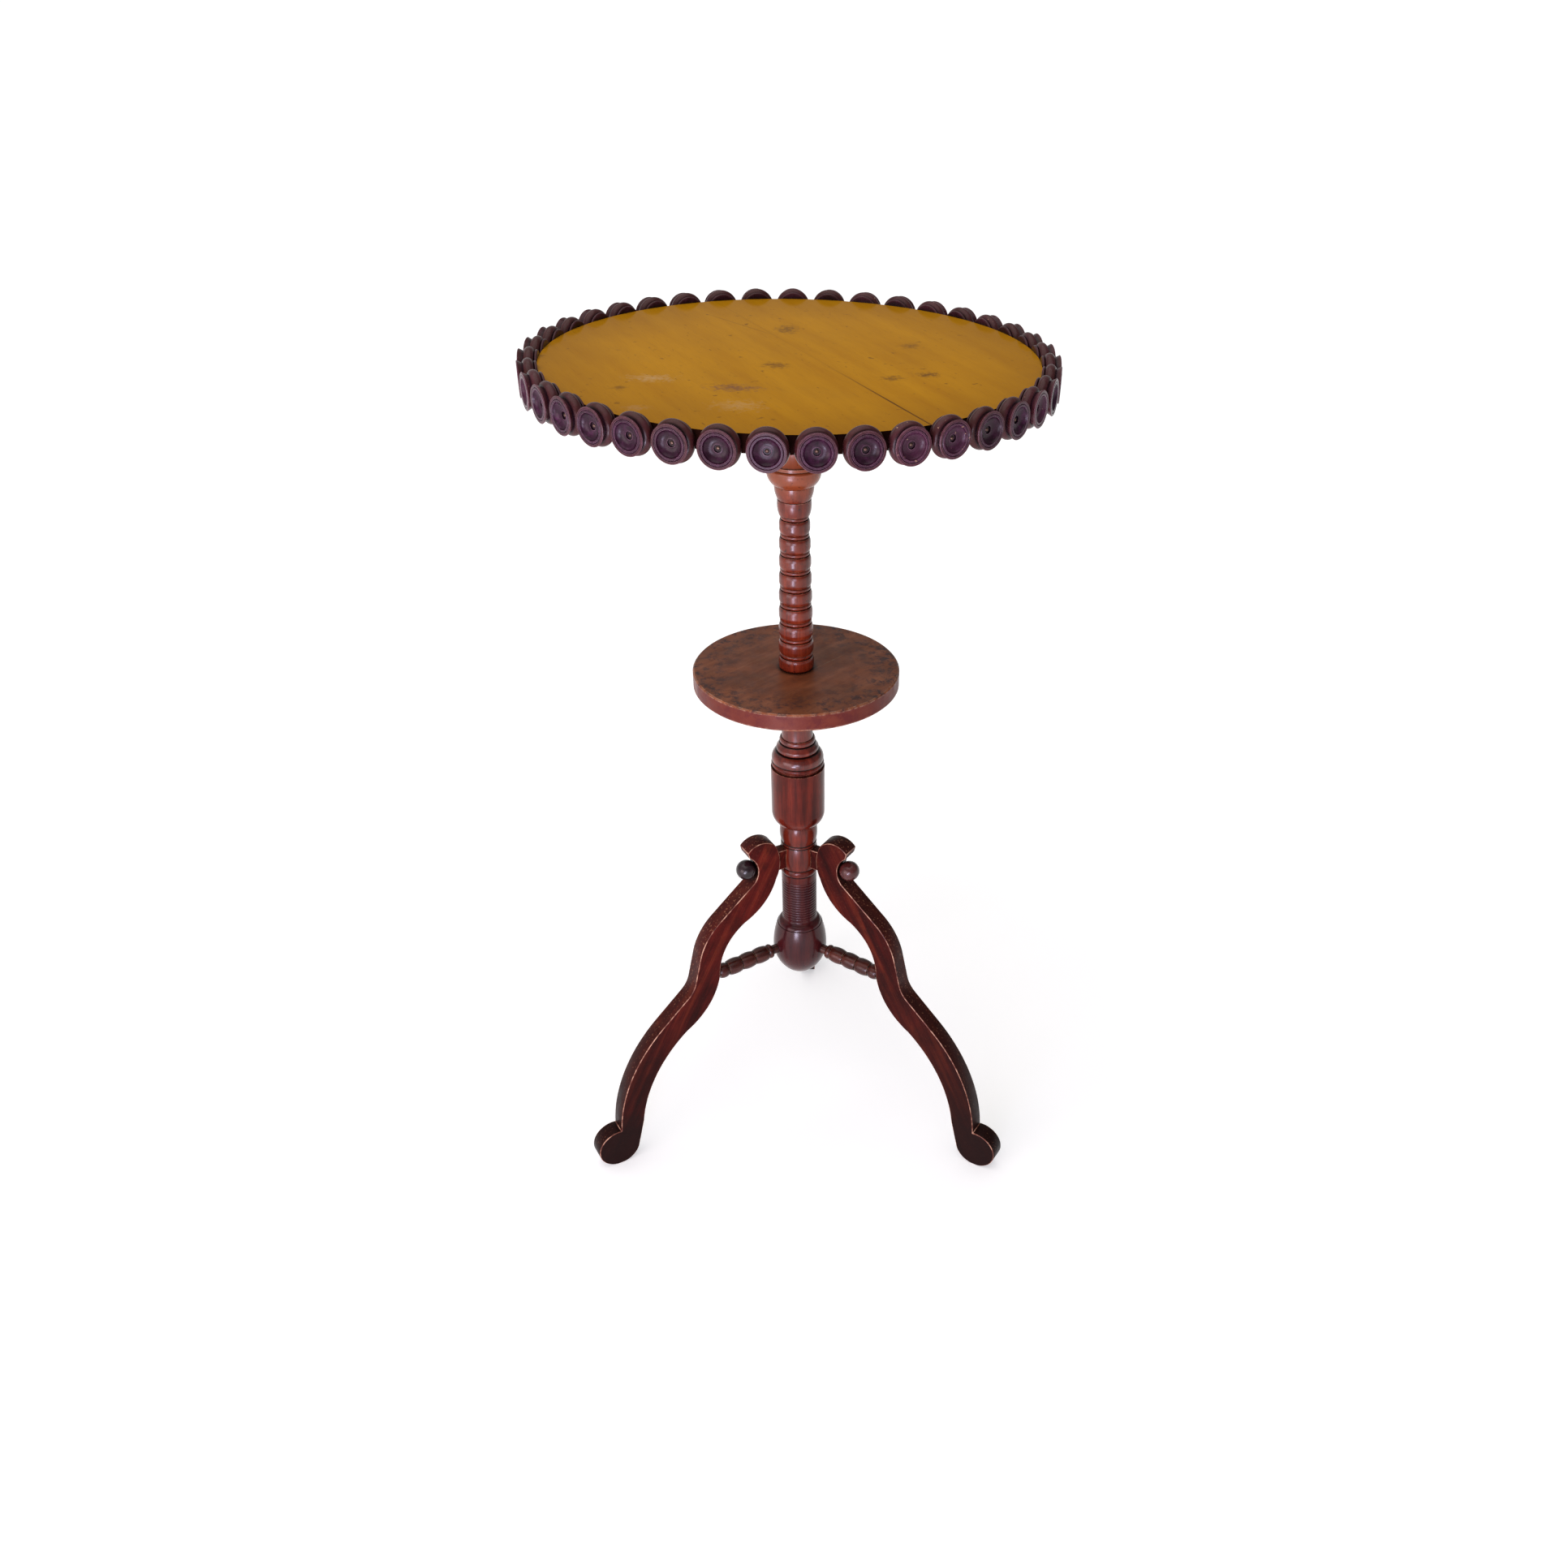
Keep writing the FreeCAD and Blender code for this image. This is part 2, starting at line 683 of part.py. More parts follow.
def make_board(label, is_wide):
    """One board of the top: a round slab cut off along the joint."""
    body = new_piece(label, size.roundel_turn, ZERO, top_underside)
    facing = size.joint_angle - size.roundel_turn
    half_joint = leg_of(size.top_radius, size.joint_offset)
    near = (
        size.joint_offset * cosine(facing) + half_joint * sine(facing),
        size.joint_offset * sine(facing) - half_joint * cosine(facing),
    )
    far = (
        size.joint_offset * cosine(facing) - half_joint * sine(facing),
        size.joint_offset * sine(facing) + half_joint * cosine(facing),
    )
    out = (size.top_radius * cosine(facing), size.top_radius * sine(facing))
    back = (-out[0], -out[1])
    if is_wide:
        quarter_rise = quarter_bulge(size.top_radius, far, back)
        outline = [(*near, STRAIGHT), (*far, quarter_rise), (*back, quarter_rise)]
    else:
        quarter_rise = quarter_bulge(size.top_radius, near, out)
        outline = [(*far, STRAIGHT), (*near, quarter_rise), (*out, quarter_rise)]
    extrude(body, draw(body, "outline", "XY_Plane", outline), size.top_thickness, both_sides=False)

    screw_holes = []
    for screw in range(SCREW_COUNT):
        turn = facing + SCREW_TURN / 2 + SCREW_TURN * screw
        place = (size.screw_circle * cosine(turn), size.screw_circle * sine(turn))
        across = place[0].value * math.cos(math.radians(facing.value))
        across += place[1].value * math.sin(math.radians(facing.value))
        if (across < size.joint_offset.value) == is_wide:
            screw_holes.append((*place, size.screw_radius + size.fit))
    screw_sketch = draw_circles(body, "screw_holes", "XY_Plane", screw_holes)
    screw_cut = extrude(body, screw_sketch, size.screw_bite + size.fit, "Pocket", both_sides=False)
    screw_cut.Reversed = True

    bore = rectangle(
        size.top_radius - size.pin_bite - size.fit,
        ZERO,
        size.top_radius + size.pin_bite,
        size.pin_radius + size.fit,
    )
    bore_height = size.top_thickness - size.roundel_drop
    bore_sketch = draw(body, "pin_bore", "XZ_Plane", bore, ZERO, bore_height)
    bore_cut = turn_solid(body, bore_sketch, "H_Axis", "Groove")
    repeat_round(body, [bore_cut], roundel_count)


def quarter_bulge(radius, start, end):
    """How far the arc of the given radius between two points stands off their chord."""
    run = end[0] - start[0]
    climb = end[1] - start[1]
    half_chord_squared = (run * run + climb * climb) / 4
    return radius - root(radius * radius - half_chord_squared)


def make_roundel(index):
    """A turned disc with its back on the edge of the top and its dished face outwards."""
    turn = size.roundel_turn + roundel_pitch * index
    body = new_piece(f"roundel_{index + 1:02d}", turn, size.top_radius, roundel_height)
    bore = size.pin_radius + size.fit
    bead_end = size.roundel_ridge_width + size.roundel_bead_width
    face = roundel_depth
    line_half = size.roundel_line_width / 2
    step_foot = face - size.roundel_dish_step
    dish_floor = step_foot - size.roundel_dish_depth
    outline = [
        (ZERO, bore, STRAIGHT),
        (pin_seat, bore, STRAIGHT),
        (pin_seat, size.roundel_recess_radius, STRAIGHT),
        (dish_floor, size.roundel_recess_radius, -size.roundel_dish_hollow),
        (step_foot, size.roundel_dish_radius, STRAIGHT),
        (face, size.roundel_land_radius, STRAIGHT),
        (face, size.roundel_line_radius - line_half, STRAIGHT),
        (face - size.roundel_line_depth, size.roundel_line_radius, STRAIGHT),
        (face, size.roundel_line_radius + line_half, STRAIGHT),
        (face, size.roundel_rim_radius - size.roundel_rim_ease, STRAIGHT),
        (face - size.roundel_rim_ease, size.roundel_rim_radius, STRAIGHT),
        (bead_end, size.roundel_waist_radius, size.roundel_radius - size.roundel_waist_radius),
        (size.roundel_ridge_width, size.roundel_waist_radius, STRAIGHT),
        (size.roundel_ridge_width, size.roundel_back_radius, size.roundel_ridge_rise),
        (ZERO, size.roundel_back_radius, STRAIGHT),
    ]
    turn_solid(body, draw(body, "outline", "XY_Plane", outline), "H_Axis")


def make_pins():
    body = new_piece("roundel_pins", size.roundel_turn, ZERO, roundel_height)
    point = size.top_radius - size.pin_bite
    seat = size.top_radius + pin_seat
    outline = [
        (point, ZERO, STRAIGHT),
        (seat + size.pin_head_height, ZERO, size.pin_head_rise),
        (seat, size.pin_head_radius, STRAIGHT),
        (seat, size.pin_radius, STRAIGHT),
        (point, size.pin_radius, STRAIGHT),
    ]
    pin = turn_solid(body, draw(body, "outline", "XY_Plane", outline), "H_Axis")
    repeat_round(body, [pin], roundel_count)


knob_reach = size.notch_foot_reach + size.knob_proud
knob_height = size.notch_foot_height + size.knob_rise

# The stretchers meet the legs at the inner elbow, or further up the line of the thigh.
thigh_height = size.inner_thigh_height - size.inner_elbow_height
thigh_run = size.inner_thigh_reach - size.inner_elbow_reach
above_elbow = size.stretcher_height - size.stretcher_fall - size.inner_elbow_height
stretcher_reach = size.inner_elbow_reach + thigh_run * above_elbow / thigh_height


# Legs, drawn in their own plane with +X away from the column.
def leg_outline():
    foot_height = leg_of(size.foot_radius, size.foot_flat / 2)
    ankle = (
        size.foot_reach - size.ankle_setback,
        foot_height + leg_of(size.foot_radius, size.ankle_setback),
    )
    toe = (size.foot_reach + size.foot_radius, foot_height)
    flat_out = (size.foot_reach + size.foot_flat / 2, ZERO)
    flat_in = (size.foot_reach - size.foot_flat / 2, ZERO)
    join = (
        size.foot_reach - size.foot_radius * cosine(size.foot_join_angle),
        foot_height - size.foot_radius * sine(size.foot_join_angle),
    )
    return [
        (*flat_in, STRAIGHT),
        (*flat_out, quarter_bulge(size.foot_radius, flat_out, toe)),
        (*toe, quarter_bulge(size.foot_radius, toe, ankle)),
        (*ankle, size.shin_rise),
        (size.shin_reach, size.shin_height, STRAIGHT),
        (size.elbow_foot_reach, size.elbow_foot_height, -size.elbow_hollow),
        (size.elbow_reach, size.elbow_height, STRAIGHT),
        (size.hip_foot_reach, size.hip_foot_height, size.hip_rise),
        (size.hip_reach, size.hip_height, STRAIGHT),
        (size.notch_foot_reach, size.notch_foot_height, -size.notch_hollow),
        (size.chin_reach, size.chin_height, STRAIGHT),
        (size.beak_reach, size.beak_height, size.crown_rise),
        (size.nape_reach, size.nape_height, size.inner_hook_rise),
        (size.inner_hip_reach, size.inner_hip_height, size.inner_hip_rise),
        (size.inner_thigh_reach, size.inner_thigh_height, -size.thigh_hollow),
        (size.inner_elbow_reach, size.inner_elbow_height, size.inner_elbow_rise),
        (size.inner_calf_reach, size.inner_calf_height, -size.calf_hollow),
        (size.foot_reach - size.inner_ankle_setback, size.inner_ankle_height, STRAIGHT),
        (*join, quarter_bulge(size.foot_radius, join, flat_in)),
    ]


def make_leg(name, turn):
    body = new_piece(f"leg_{name}", as_size(turn))
    extrude(body, draw(body, "outline", "XZ_Plane", leg_outline()), size.leg_thickness)
    tenon = rectangle(
        size.leg_tenon_end,
        size.leg_tenon_foot,
        size.nape_reach,
        size.leg_tenon_foot + size.leg_tenon_height,
    )
    extrude(body, draw(body, "tenon", "XZ_Plane", tenon), size.leg_tenon_thickness)

    hollow = size.knob_radius + size.fit
    hole = size.peg_radius + size.fit
    throat = knob_reach - leg_of(hollow, hole)
    seat_start = (throat, hole)
    seat_top = (knob_reach, hollow)
    seat_end = (knob_reach + hollow, ZERO)
    seat = [
        (knob_reach - size.knob_radius - size.peg_length - size.fit, ZERO, STRAIGHT),
        (*seat_end, quarter_bulge(hollow, seat_end, seat_top)),
        (*seat_top, quarter_bulge(hollow, seat_top, seat_start)),
        (*seat_start, STRAIGHT),
        (knob_reach - size.knob_radius - size.peg_length - size.fit, hole, STRAIGHT),
    ]
    seat_sketch = draw(body, "ball_seat", "XZ_Plane", seat, ZERO, knob_height)
    turn_solid(body, seat_sketch, "H_Axis", "Groove")

    socket = rectangle(
        stretcher_reach - size.stretcher_socket,
        ZERO,
        stretcher_reach + size.stretcher_socket + size.fit,
        size.stretcher_end_radius + size.fit,
    )
    slope = -size.stretcher_slope_angle
    socket_sketch = draw(body, "socket", "XZ_Plane", socket, ZERO, size.stretcher_height, slope)
    turn_solid(body, socket_sketch, "H_Axis", "Groove")


def make_knob(name, turn):
    """The ball in a leg's notch, turned in one with its peg."""
    body = new_piece(f"ball_{name}", as_size(turn), ZERO, knob_height)
    peg_end = knob_reach - size.knob_radius - size.peg_length
    throat = (knob_reach - leg_of(size.knob_radius, size.peg_radius), size.peg_radius)
    crown = (knob_reach, size.knob_radius)
    front = (knob_reach + size.knob_radius, ZERO)
    outline = [
        (peg_end, ZERO, STRAIGHT),
        (*front, quarter_bulge(size.knob_radius, front, crown)),
        (*crown, quarter_bulge(size.knob_radius, crown, throat)),
        (*throat, STRAIGHT),
        (peg_end, size.peg_radius, STRAIGHT),
    ]
    turn_solid(body, draw(body, "outline", "XY_Plane", outline), "H_Axis")


def make_stretcher(name, turn):
    """A turned spindle from the ball drop to the inner edge of a leg."""
    body = new_piece(f"stretcher_{name}", as_size(turn), ZERO, size.stretcher_height)
    ring_start = size.ball_radius + size.stretcher_collar
    ring_end = ring_start + size.stretcher_ring_width
    beads_start = ring_end + size.stretcher_groove_width
    small_end = stretcher_reach - size.stretcher_neck
    small_start = small_end - size.stretcher_small_width
    bead_pitch = (small_start - beads_start) / STRETCHER_BEAD_COUNT
    inner_end = size.ball_radius - size.stretcher_socket
    outer_end = stretcher_reach + size.stretcher_socket
    end = size.stretcher_end_radius
    ring_foot = size.stretcher_ring_foot_radius
    groove = size.stretcher_groove_radius
    bead_foot = size.stretcher_bead_radius - size.stretcher_bead_rise
    outline = [(inner_end, ZERO, STRAIGHT), (outer_end, ZERO, STRAIGHT), (outer_end, end, STRAIGHT)]
    outline.append((small_end, end, STRAIGHT))
    outline.append((small_end, ring_foot, size.stretcher_small_rise))
    outline.append((small_start, ring_foot, STRAIGHT))
    for bead in range(STRETCHER_BEAD_COUNT):
        groove_end = small_start - bead_pitch * bead
        bead_end = groove_end - size.stretcher_groove_width
        bead_start = groove_end - bead_pitch
        outline.append((groove_end, groove, STRAIGHT))
        outline.append((bead_end, groove, STRAIGHT))
        outline.append((bead_end, bead_foot, size.stretcher_bead_rise))
        outline.append((bead_start, bead_foot, STRAIGHT))
    outline.append((beads_start, groove, STRAIGHT))
    outline.append((ring_end, groove, STRAIGHT))
    outline.append((ring_end, ring_foot, size.stretcher_ring_rise))
    outline.append((ring_start, ring_foot, STRAIGHT))
    outline.append((ring_start, end, STRAIGHT))
    outline.append((inner_end, end, STRAIGHT))
    sketch = draw(body, "outline", "XZ_Plane", outline, tilt=-size.stretcher_slope_angle)
    turn_solid(body, sketch, "H_Axis")


make_lower_column()
make_shelf()
make_upper_column()
make_cleat()
make_board("top_board_wide", True)
make_board("top_board_narrow", False)
for index in range(int(roundel_count.value)):
    make_roundel(index)
make_pins()
for name, turn in LEG_TURNS.items():
    make_leg(name, turn)
    make_knob(name, turn)
    make_stretcher(name, turn)

doc.recompute()
for item in doc.Objects:
    if "Invalid" in item.State or "Error" in item.State:
        raise RuntimeError(f"{item.Label} failed: {item.State}")
for piece in pieces:
    if piece.Shape.isNull() or not piece.Shape.isValid():
        raise RuntimeError(f"{piece.Label} has no valid shape")

os.makedirs("parts", exist_ok=True)
for piece in pieces:
    piece.Shape.exportStep(f"parts/{piece.Label}.step")
    print(f"{piece.Label}: {len(piece.Shape.Solids)} solids, {piece.Shape.Volume:.0f} mm3")
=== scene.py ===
import math
from typing import NamedTuple

import bmesh
import bpy
from mathutils import Matrix, Vector


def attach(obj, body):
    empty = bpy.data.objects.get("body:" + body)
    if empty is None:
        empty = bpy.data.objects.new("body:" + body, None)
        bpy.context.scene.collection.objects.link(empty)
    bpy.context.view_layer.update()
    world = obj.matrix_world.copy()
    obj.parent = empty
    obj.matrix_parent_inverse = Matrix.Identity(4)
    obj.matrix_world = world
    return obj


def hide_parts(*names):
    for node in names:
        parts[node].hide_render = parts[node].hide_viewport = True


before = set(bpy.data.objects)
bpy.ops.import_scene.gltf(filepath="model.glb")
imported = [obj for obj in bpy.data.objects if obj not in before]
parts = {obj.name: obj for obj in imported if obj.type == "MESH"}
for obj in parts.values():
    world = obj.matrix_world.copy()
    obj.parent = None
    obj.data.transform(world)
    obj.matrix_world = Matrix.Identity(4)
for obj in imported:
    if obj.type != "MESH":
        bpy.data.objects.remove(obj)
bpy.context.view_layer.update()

# The photograph's camera, in pixels of its 1932 by 1932 frame, metres and radians. The sensor is in mm.
PHOTO_SIDE = 1932
FOCAL_PIXELS = 1739.69
AXIS_PIXEL = (1098.77, 1075.38)
CAMERA_PLACE = (0.0457, -1.0949, 1.0263)
CAMERA_YAW = 0.03779
CAMERA_PITCH = 0.6022
CAMERA_ROLL = 0.0321
SENSOR = 36.0

# Places that the looks follow, in metres and degrees.
JOINT_OFFSET = 0.014
JOINT_ANGLE = 27.1
ROUNDEL_COUNT = 39
ROUNDEL_TURN = -83.31
ROUNDEL_HEIGHT = 0.735
LEG_TURNS = {"left": 210, "right": 330, "back": 90}


def srgb(red, green, blue):
    """A colour on the usual scale of 0 to 255, as the linear colour that shaders take."""
    parts_of_one = (level / 255 for level in (red, green, blue))
    linear = [p / 12.92 if p <= 0.04045 else ((p + 0.055) / 1.055) ** 2.4 for p in parts_of_one]
    return (*linear, 1.0)


class Noise(NamedTuple):
    """Features per metre, the same each way or along x, y and z, and how fine and rough they are."""

    scale: float | tuple
    detail: float = 3.0
    roughness: float = 0.55


class Tint(NamedTuple):
    """A colour laid over another: none of it at the low level of a value, its strength at the high."""

    colour: tuple
    low: float
    high: float
    strength: float = 1.0


# The middle of a noise, and the levels that it mostly stays between.
MIDDLE = 0.5
MOST = (0.3, 0.7)


class Nodes:
    """A node tree to which nodes are added one at a time."""

    def __init__(self, tree):
        self.tree = tree

    def feed(self, socket, value):
        if isinstance(value, bpy.types.NodeSocket):
            self.tree.links.new(value, socket)
        else:
            socket.default_value = value

    def add(self, kind, inputs=None, **settings):
        node = self.tree.nodes.new(kind)
        for name, value in settings.items():
            setattr(node, name, value)
        for key, value in (inputs or {}).items():
            self.feed(node.inputs[key], value)
        return node

    def calc(self, operation, first, second=0.0, third=0.0):
        inputs = {0: first, 1: second, 2: third}
        return self.add("ShaderNodeMath", inputs, operation=operation).outputs[0]

    def product(self, first, second):
        return self.calc("MULTIPLY", first, second)

    def distance(self, value, place):
        return self.calc("ABSOLUTE", self.calc("SUBTRACT", value, place))

    def weighed(self, first, first_share, second, second_share):
        """The sum of two values, each times its share."""
        return self.calc("MULTIPLY_ADD", first, first_share, self.product(second, second_share))

    def from_axis(self, x, y):
        return self.calc("SQRT", self.weighed(x, x, y, y))

    def axes(self, place):
        return self.add("ShaderNodeSeparateXYZ", {0: place}).outputs

    def vector(self, x=0.0, y=0.0, z=0.0):
        return self.add("ShaderNodeCombineXYZ", {0: x, 1: y, 2: z}).outputs[0]

    def stretched(self, place, scales):
        inputs = {0: place, 1: scales}
        return self.add("ShaderNodeVectorMath", inputs, operation="MULTIPLY").outputs[0]

    def turned(self, place, axis, degrees):
        inputs = {"Vector": place, "Angle": math.radians(degrees)}
        return self.add("ShaderNodeVectorRotate", inputs, rotation_type=f"{axis}_AXIS").outputs[0]

    def noise(self, place, kind):
        scale = kind.scale
        if isinstance(scale, tuple):
            place, scale = self.stretched(place, scale), 1.0
        inputs = {"Vector": place, "Scale": scale, "Detail": kind.detail, "Roughness": kind.roughness}
        return self.add("ShaderNodeTexNoise", inputs).outputs[0]

    def spread(self, value, low, high, start=0.0, end=1.0):
        """Value taken from low..high to start..end, and held there outside."""
        inputs = {0: value, 1: low, 2: high, 3: start, 4: end}
        return self.add("ShaderNodeMapRange", inputs, clamp=True).outputs[0]

    def mix(self, share, first, second, blend="MIX"):
        inputs = {0: share, 6: first, 7: second}
        return self.add("ShaderNodeMix", inputs, data_type="RGBA", blend_type=blend).outputs[2]

    def tinted(self, colour, tint, value):
        share = self.spread(value, tint.low, tint.high, 0.0, tint.strength)
        return self.mix(share, colour, tint.colour)

    def shaded(self, colour, level):
        """The colour made lighter or darker by a level around 1."""
        grey = self.add("ShaderNodeCombineColor", {0: level, 1: level, 2: level}).outputs[0]
        return self.mix(1.0, colour, grey, "MULTIPLY")

    def ramp(self, value, positions, colours):
        node = self.add("ShaderNodeValToRGB", {0: value})
        elements = node.color_ramp.elements
        while len(elements) < len(positions):
            elements.new(0.5)
        for element, position, colour in zip(elements, positions, colours):
            element.position = position
            element.color = colour
        return node.outputs[0]


# Shelter is read as ambient occlusion, and an arris as the cosine between a face and its rounded form.
SHELTER_LEVELS = (0.42, 0.9)
SHELTER_SAMPLES = 8
ARRIS_COSINES = (0.99, 0.86)
ARRIS_SAMPLES = 5


class Look(Nodes):
    """A material whose marks lie by their places in the shared frame."""

    def __init__(self, name, **constants):
        self.material = bpy.data.materials.new(name)
        self.material.use_nodes = True
        super().__init__(self.material.node_tree)
        self.shader = self.tree.nodes["Principled BSDF"]
        for socket, value in constants.items():
            self.shader.inputs[socket.replace("_", " ")].default_value = value
        self.place = self.add("ShaderNodeTexCoord").outputs["Object"]

    def height(self):
        return self.axes(self.place)[2]

    def normal(self):
        return self.add("ShaderNodeNewGeometry").outputs["Normal"]

    def sheltered(self, reach):
        """1 deep in a groove or corner, 0 out in the open."""
        shade = self.add("ShaderNodeAmbientOcclusion", {"Distance": reach}, samples=SHELTER_SAMPLES)
        return self.spread(shade.outputs["AO"], *SHELTER_LEVELS, 1.0, 0.0)

    def arris(self, width):
        """1 on sharp edges, 0 on the faces between them."""
        rounded = self.add("ShaderNodeBevel", {"Radius": width}, samples=ARRIS_SAMPLES).outputs[0]
        inputs = {0: rounded, 1: self.normal()}
        lined_up = self.add("ShaderNodeVectorMath", inputs, operation="DOT_PRODUCT")
        return self.spread(lined_up.outputs["Value"], *ARRIS_COSINES)

    def finish(self, colour, roughness, relief, depth):
        self.feed(self.shader.inputs["Base Color"], colour)
        self.feed(self.shader.inputs["Roughness"], roughness)
        bump = self.add("ShaderNodeBump", {"Strength": 1.0, "Distance": depth, "Height": relief})
        self.feed(self.shader.inputs["Normal"], bump.outputs[0])
        return self.material


# Wood of any kind: how its grain drifts and sways, its pores, clouds of tone, rubbed spots and shine.
DRIFT_ACROSS = 4
DRIFT_ALONG = 40
DRIFT_DETAIL = 2.0
SWAY = 0.006
STREAK_DETAIL = 4.0
STREAK_ROUGHNESS = 0.6
PORES = Noise((1500, 1500, 60), 2.0, 0.5)
WOOD_STOPS = (0.3, 0.5, 0.72)
WOOD_PORE_LEVELS = (0.56, 0.68)
WOOD_PORE_SHARE = 0.55
CLOUDS = Noise(38.0)
CLOUD_LEVELS = (0.35, 0.65)
CLOUD_SHADES = (0.76, 1.16)
RUB = Noise(260.0, 4.0, 0.65)
RUB_LEVELS = (0.42, 0.62)
SHINE_NOISE = Noise(90.0, 4.0)
WOOD_PORE_RELIEF = 0.35
WOOD_RUB_RELIEF = 0.65

# Dirt with painted shade in grooves, laid where they are sheltered, and lines of dirt in the joints of
# a turning:
# how far off a line starts and is full, in metres, and its strength.
GROOVE_DIRT_AND_SHADE = srgb(18, 6, 4)
DIRT_LINE = (0.0010, 0.0003)
DIRT_LINE_SHARE = 0.85

# The tone of rubbed edges, and the height over which they come in where only the upper ones are rubbed.
RUBBED = srgb(172, 122, 92)
WORN_FADE = 0.005


def grain(look, along, coarse, stretch):
    """Streaks and pores of wood that run along the third axis of a place. Gives (streaks, pores)."""
    drift_scales = (coarse / DRIFT_ACROSS, coarse / DRIFT_ACROSS, coarse / DRIFT_ALONG)
    sway = look.product(look.noise(along, Noise(drift_scales, DRIFT_DETAIL)), SWAY)
    inputs = {0: along, 1: look.vector(sway, sway)}
    swayed = look.add("ShaderNodeVectorMath", inputs, operation="ADD").outputs[0]
    streak_scales = (coarse, coarse, coarse / stretch)
    streaks = look.noise(swayed, Noise(streak_scales, STREAK_DETAIL, STREAK_ROUGHNESS))
    return streaks, look.noise(along, PORES)


def polished_wood(
    name,
    tones,
    along=lambda look: look.place,
    coarse=160,
    stretch=16,
    dirt_and_shade=None,
    dirt_and_shade_reach=0.004,
    worn=None,
    worn_width=0.0008,
    worn_above=None,
    joints=(),
    shine=(0.22, 0.42),
    recolour=lambda look, colour: colour,
    specular=0.4,
    sheen=None,
    relief=0.00002,
):
    """Stained, French-polished wood: dirt and painted shade in its grooves, rubbed pale on its arrises.
    """
    look = Look(name, Specular_IOR_Level=specular)
    if sheen:
        look.feed(look.shader.inputs["Specular IOR Level"], sheen(look))
    streaks, pores = grain(look, along(look), coarse, stretch)
    colour = look.ramp(streaks, WOOD_STOPS, tones)
    colour = look.tinted(colour, Tint(tones[0], *WOOD_PORE_LEVELS, WOOD_PORE_SHARE), pores)
    clouds = look.noise(look.place, CLOUDS)
    colour = look.shaded(colour, look.spread(clouds, *CLOUD_LEVELS, *CLOUD_SHADES))
    colour = recolour(look, colour)
    rub = look.noise(look.place, RUB)
    if worn:
        wear = look.product(look.arris(worn_width), look.spread(rub, *RUB_LEVELS))
        if worn_above:
            on_high = look.spread(look.height(), worn_above, worn_above + WORN_FADE)
            wear = look.product(wear, on_high)
        colour = look.mix(wear, colour, worn)
    for joint in joints:
        off = look.distance(look.height(), joint)
        colour = look.tinted(colour, Tint(dirt_and_shade, *DIRT_LINE, DIRT_LINE_SHARE), off)
    # Dirt and painted shade where the surface is sheltered, in grooves and corners.
    if dirt_and_shade:
        colour = look.mix(look.sheltered(dirt_and_shade_reach), colour, dirt_and_shade)
    roughness = look.spread(look.noise(look.place, SHINE_NOISE), *MOST, *shine)
    bumps = look.weighed(pores, WOOD_PORE_RELIEF, rub, WOOD_RUB_RELIEF)
    return look.finish(colour, roughness, bumps, relief)


def dress(material, *names):
    for name in names:
        parts[name].data.materials.clear()
        parts[name].data.materials.append(material)


# A scratch is full over its middle half and over a sixth of its width.
SCRATCH_FULL_LENGTH = 1 / 2
SCRATCH_FULL_WIDTH = 1 / 6


def scratch_share(look, x, y, ends, width):
    """1 on a straight scratch between two points, 0 off it, and fading towards its ends."""
    start, end = (Vector(point) for point in ends)
    middle = (start + end) / 2
    run = (end - start).normalized()
    half = (end - start).length / 2
    off = look.distance(look.weighed(x, -run.y, y, run.x), middle.y * run.x - middle.x * run.y)
    from_middle = look.distance(look.weighed(x, run.x, y, run.y), middle.dot(run))
    lengthwise = look.spread(from_middle, half, half * SCRATCH_FULL_LENGTH)
    return look.product(look.spread(off, width, width * SCRATCH_FULL_WIDTH), lengthwise)


# Top: mustard varnish with streaks along the joint, marks of use and a dark edge.
TOP_SPECULAR = 0.005
TOP_GRAIN = (60, 9)
TOP_STOPS = (0.25, 0.5, 0.75)
TOP_TONES = (srgb(167, 112, 8), srgb(177, 122, 11), srgb(185, 129, 14))
TOP_PORES = Tint(srgb(128, 86, 16), 0.58, 0.72, 0.3)
HAZE = Noise(9.0)
TOP_HAZE = Tint(srgb(150, 104, 30), 0.45, 0.75, 0.3)
# Each mark is (x, y, half its width in x, half its depth in y, colour, strength).
TOP_MARKS = (
    (-0.0975, -0.064, 0.0150, 0.0085, srgb(188, 152, 106), 0.60),
    (-0.0375, -0.084, 0.0170, 0.0080, srgb(116, 78, 56), 0.85),
    (-0.0315, -0.126, 0.0160, 0.0115, srgb(186, 148, 100), 0.45),
    (-0.1000, -0.136, 0.0080, 0.0060, srgb(184, 148, 112), 0.35),
    (-0.0073, 0.082, 0.0085, 0.0120, srgb(106, 72, 30), 0.80),
    (-0.0119, -0.0235, 0.0100, 0.0080, srgb(112, 74, 26), 0.80),
    (-0.1169, -0.090, 0.0060, 0.0060, srgb(116, 78, 22), 0.70),
    (0.1000, -0.040, 0.0100, 0.0060, srgb(100, 66, 26), 0.90),
    (0.0740, -0.051, 0.0080, 0.0060, srgb(108, 72, 26), 0.80),
    (0.0900, 0.040, 0.0080, 0.0080, srgb(116, 78, 28), 0.70),
)
MARK_RAGS = Noise(210.0, 5.0, 0.75)
MARK_RAGGEDNESS = 4.6
MARK_EDGE = 1.25
DENTS = Noise((110, 140, 120), 2.0, 0.5)
TOP_DENTS = Tint(srgb(108, 72, 20), 0.69, 0.75, 0.7)
FLECKS = Noise((420, 420, 130), 1.0, 0.5)
TOP_FLECKS = Tint(srgb(104, 66, 16), 0.72, 0.79, 0.65)
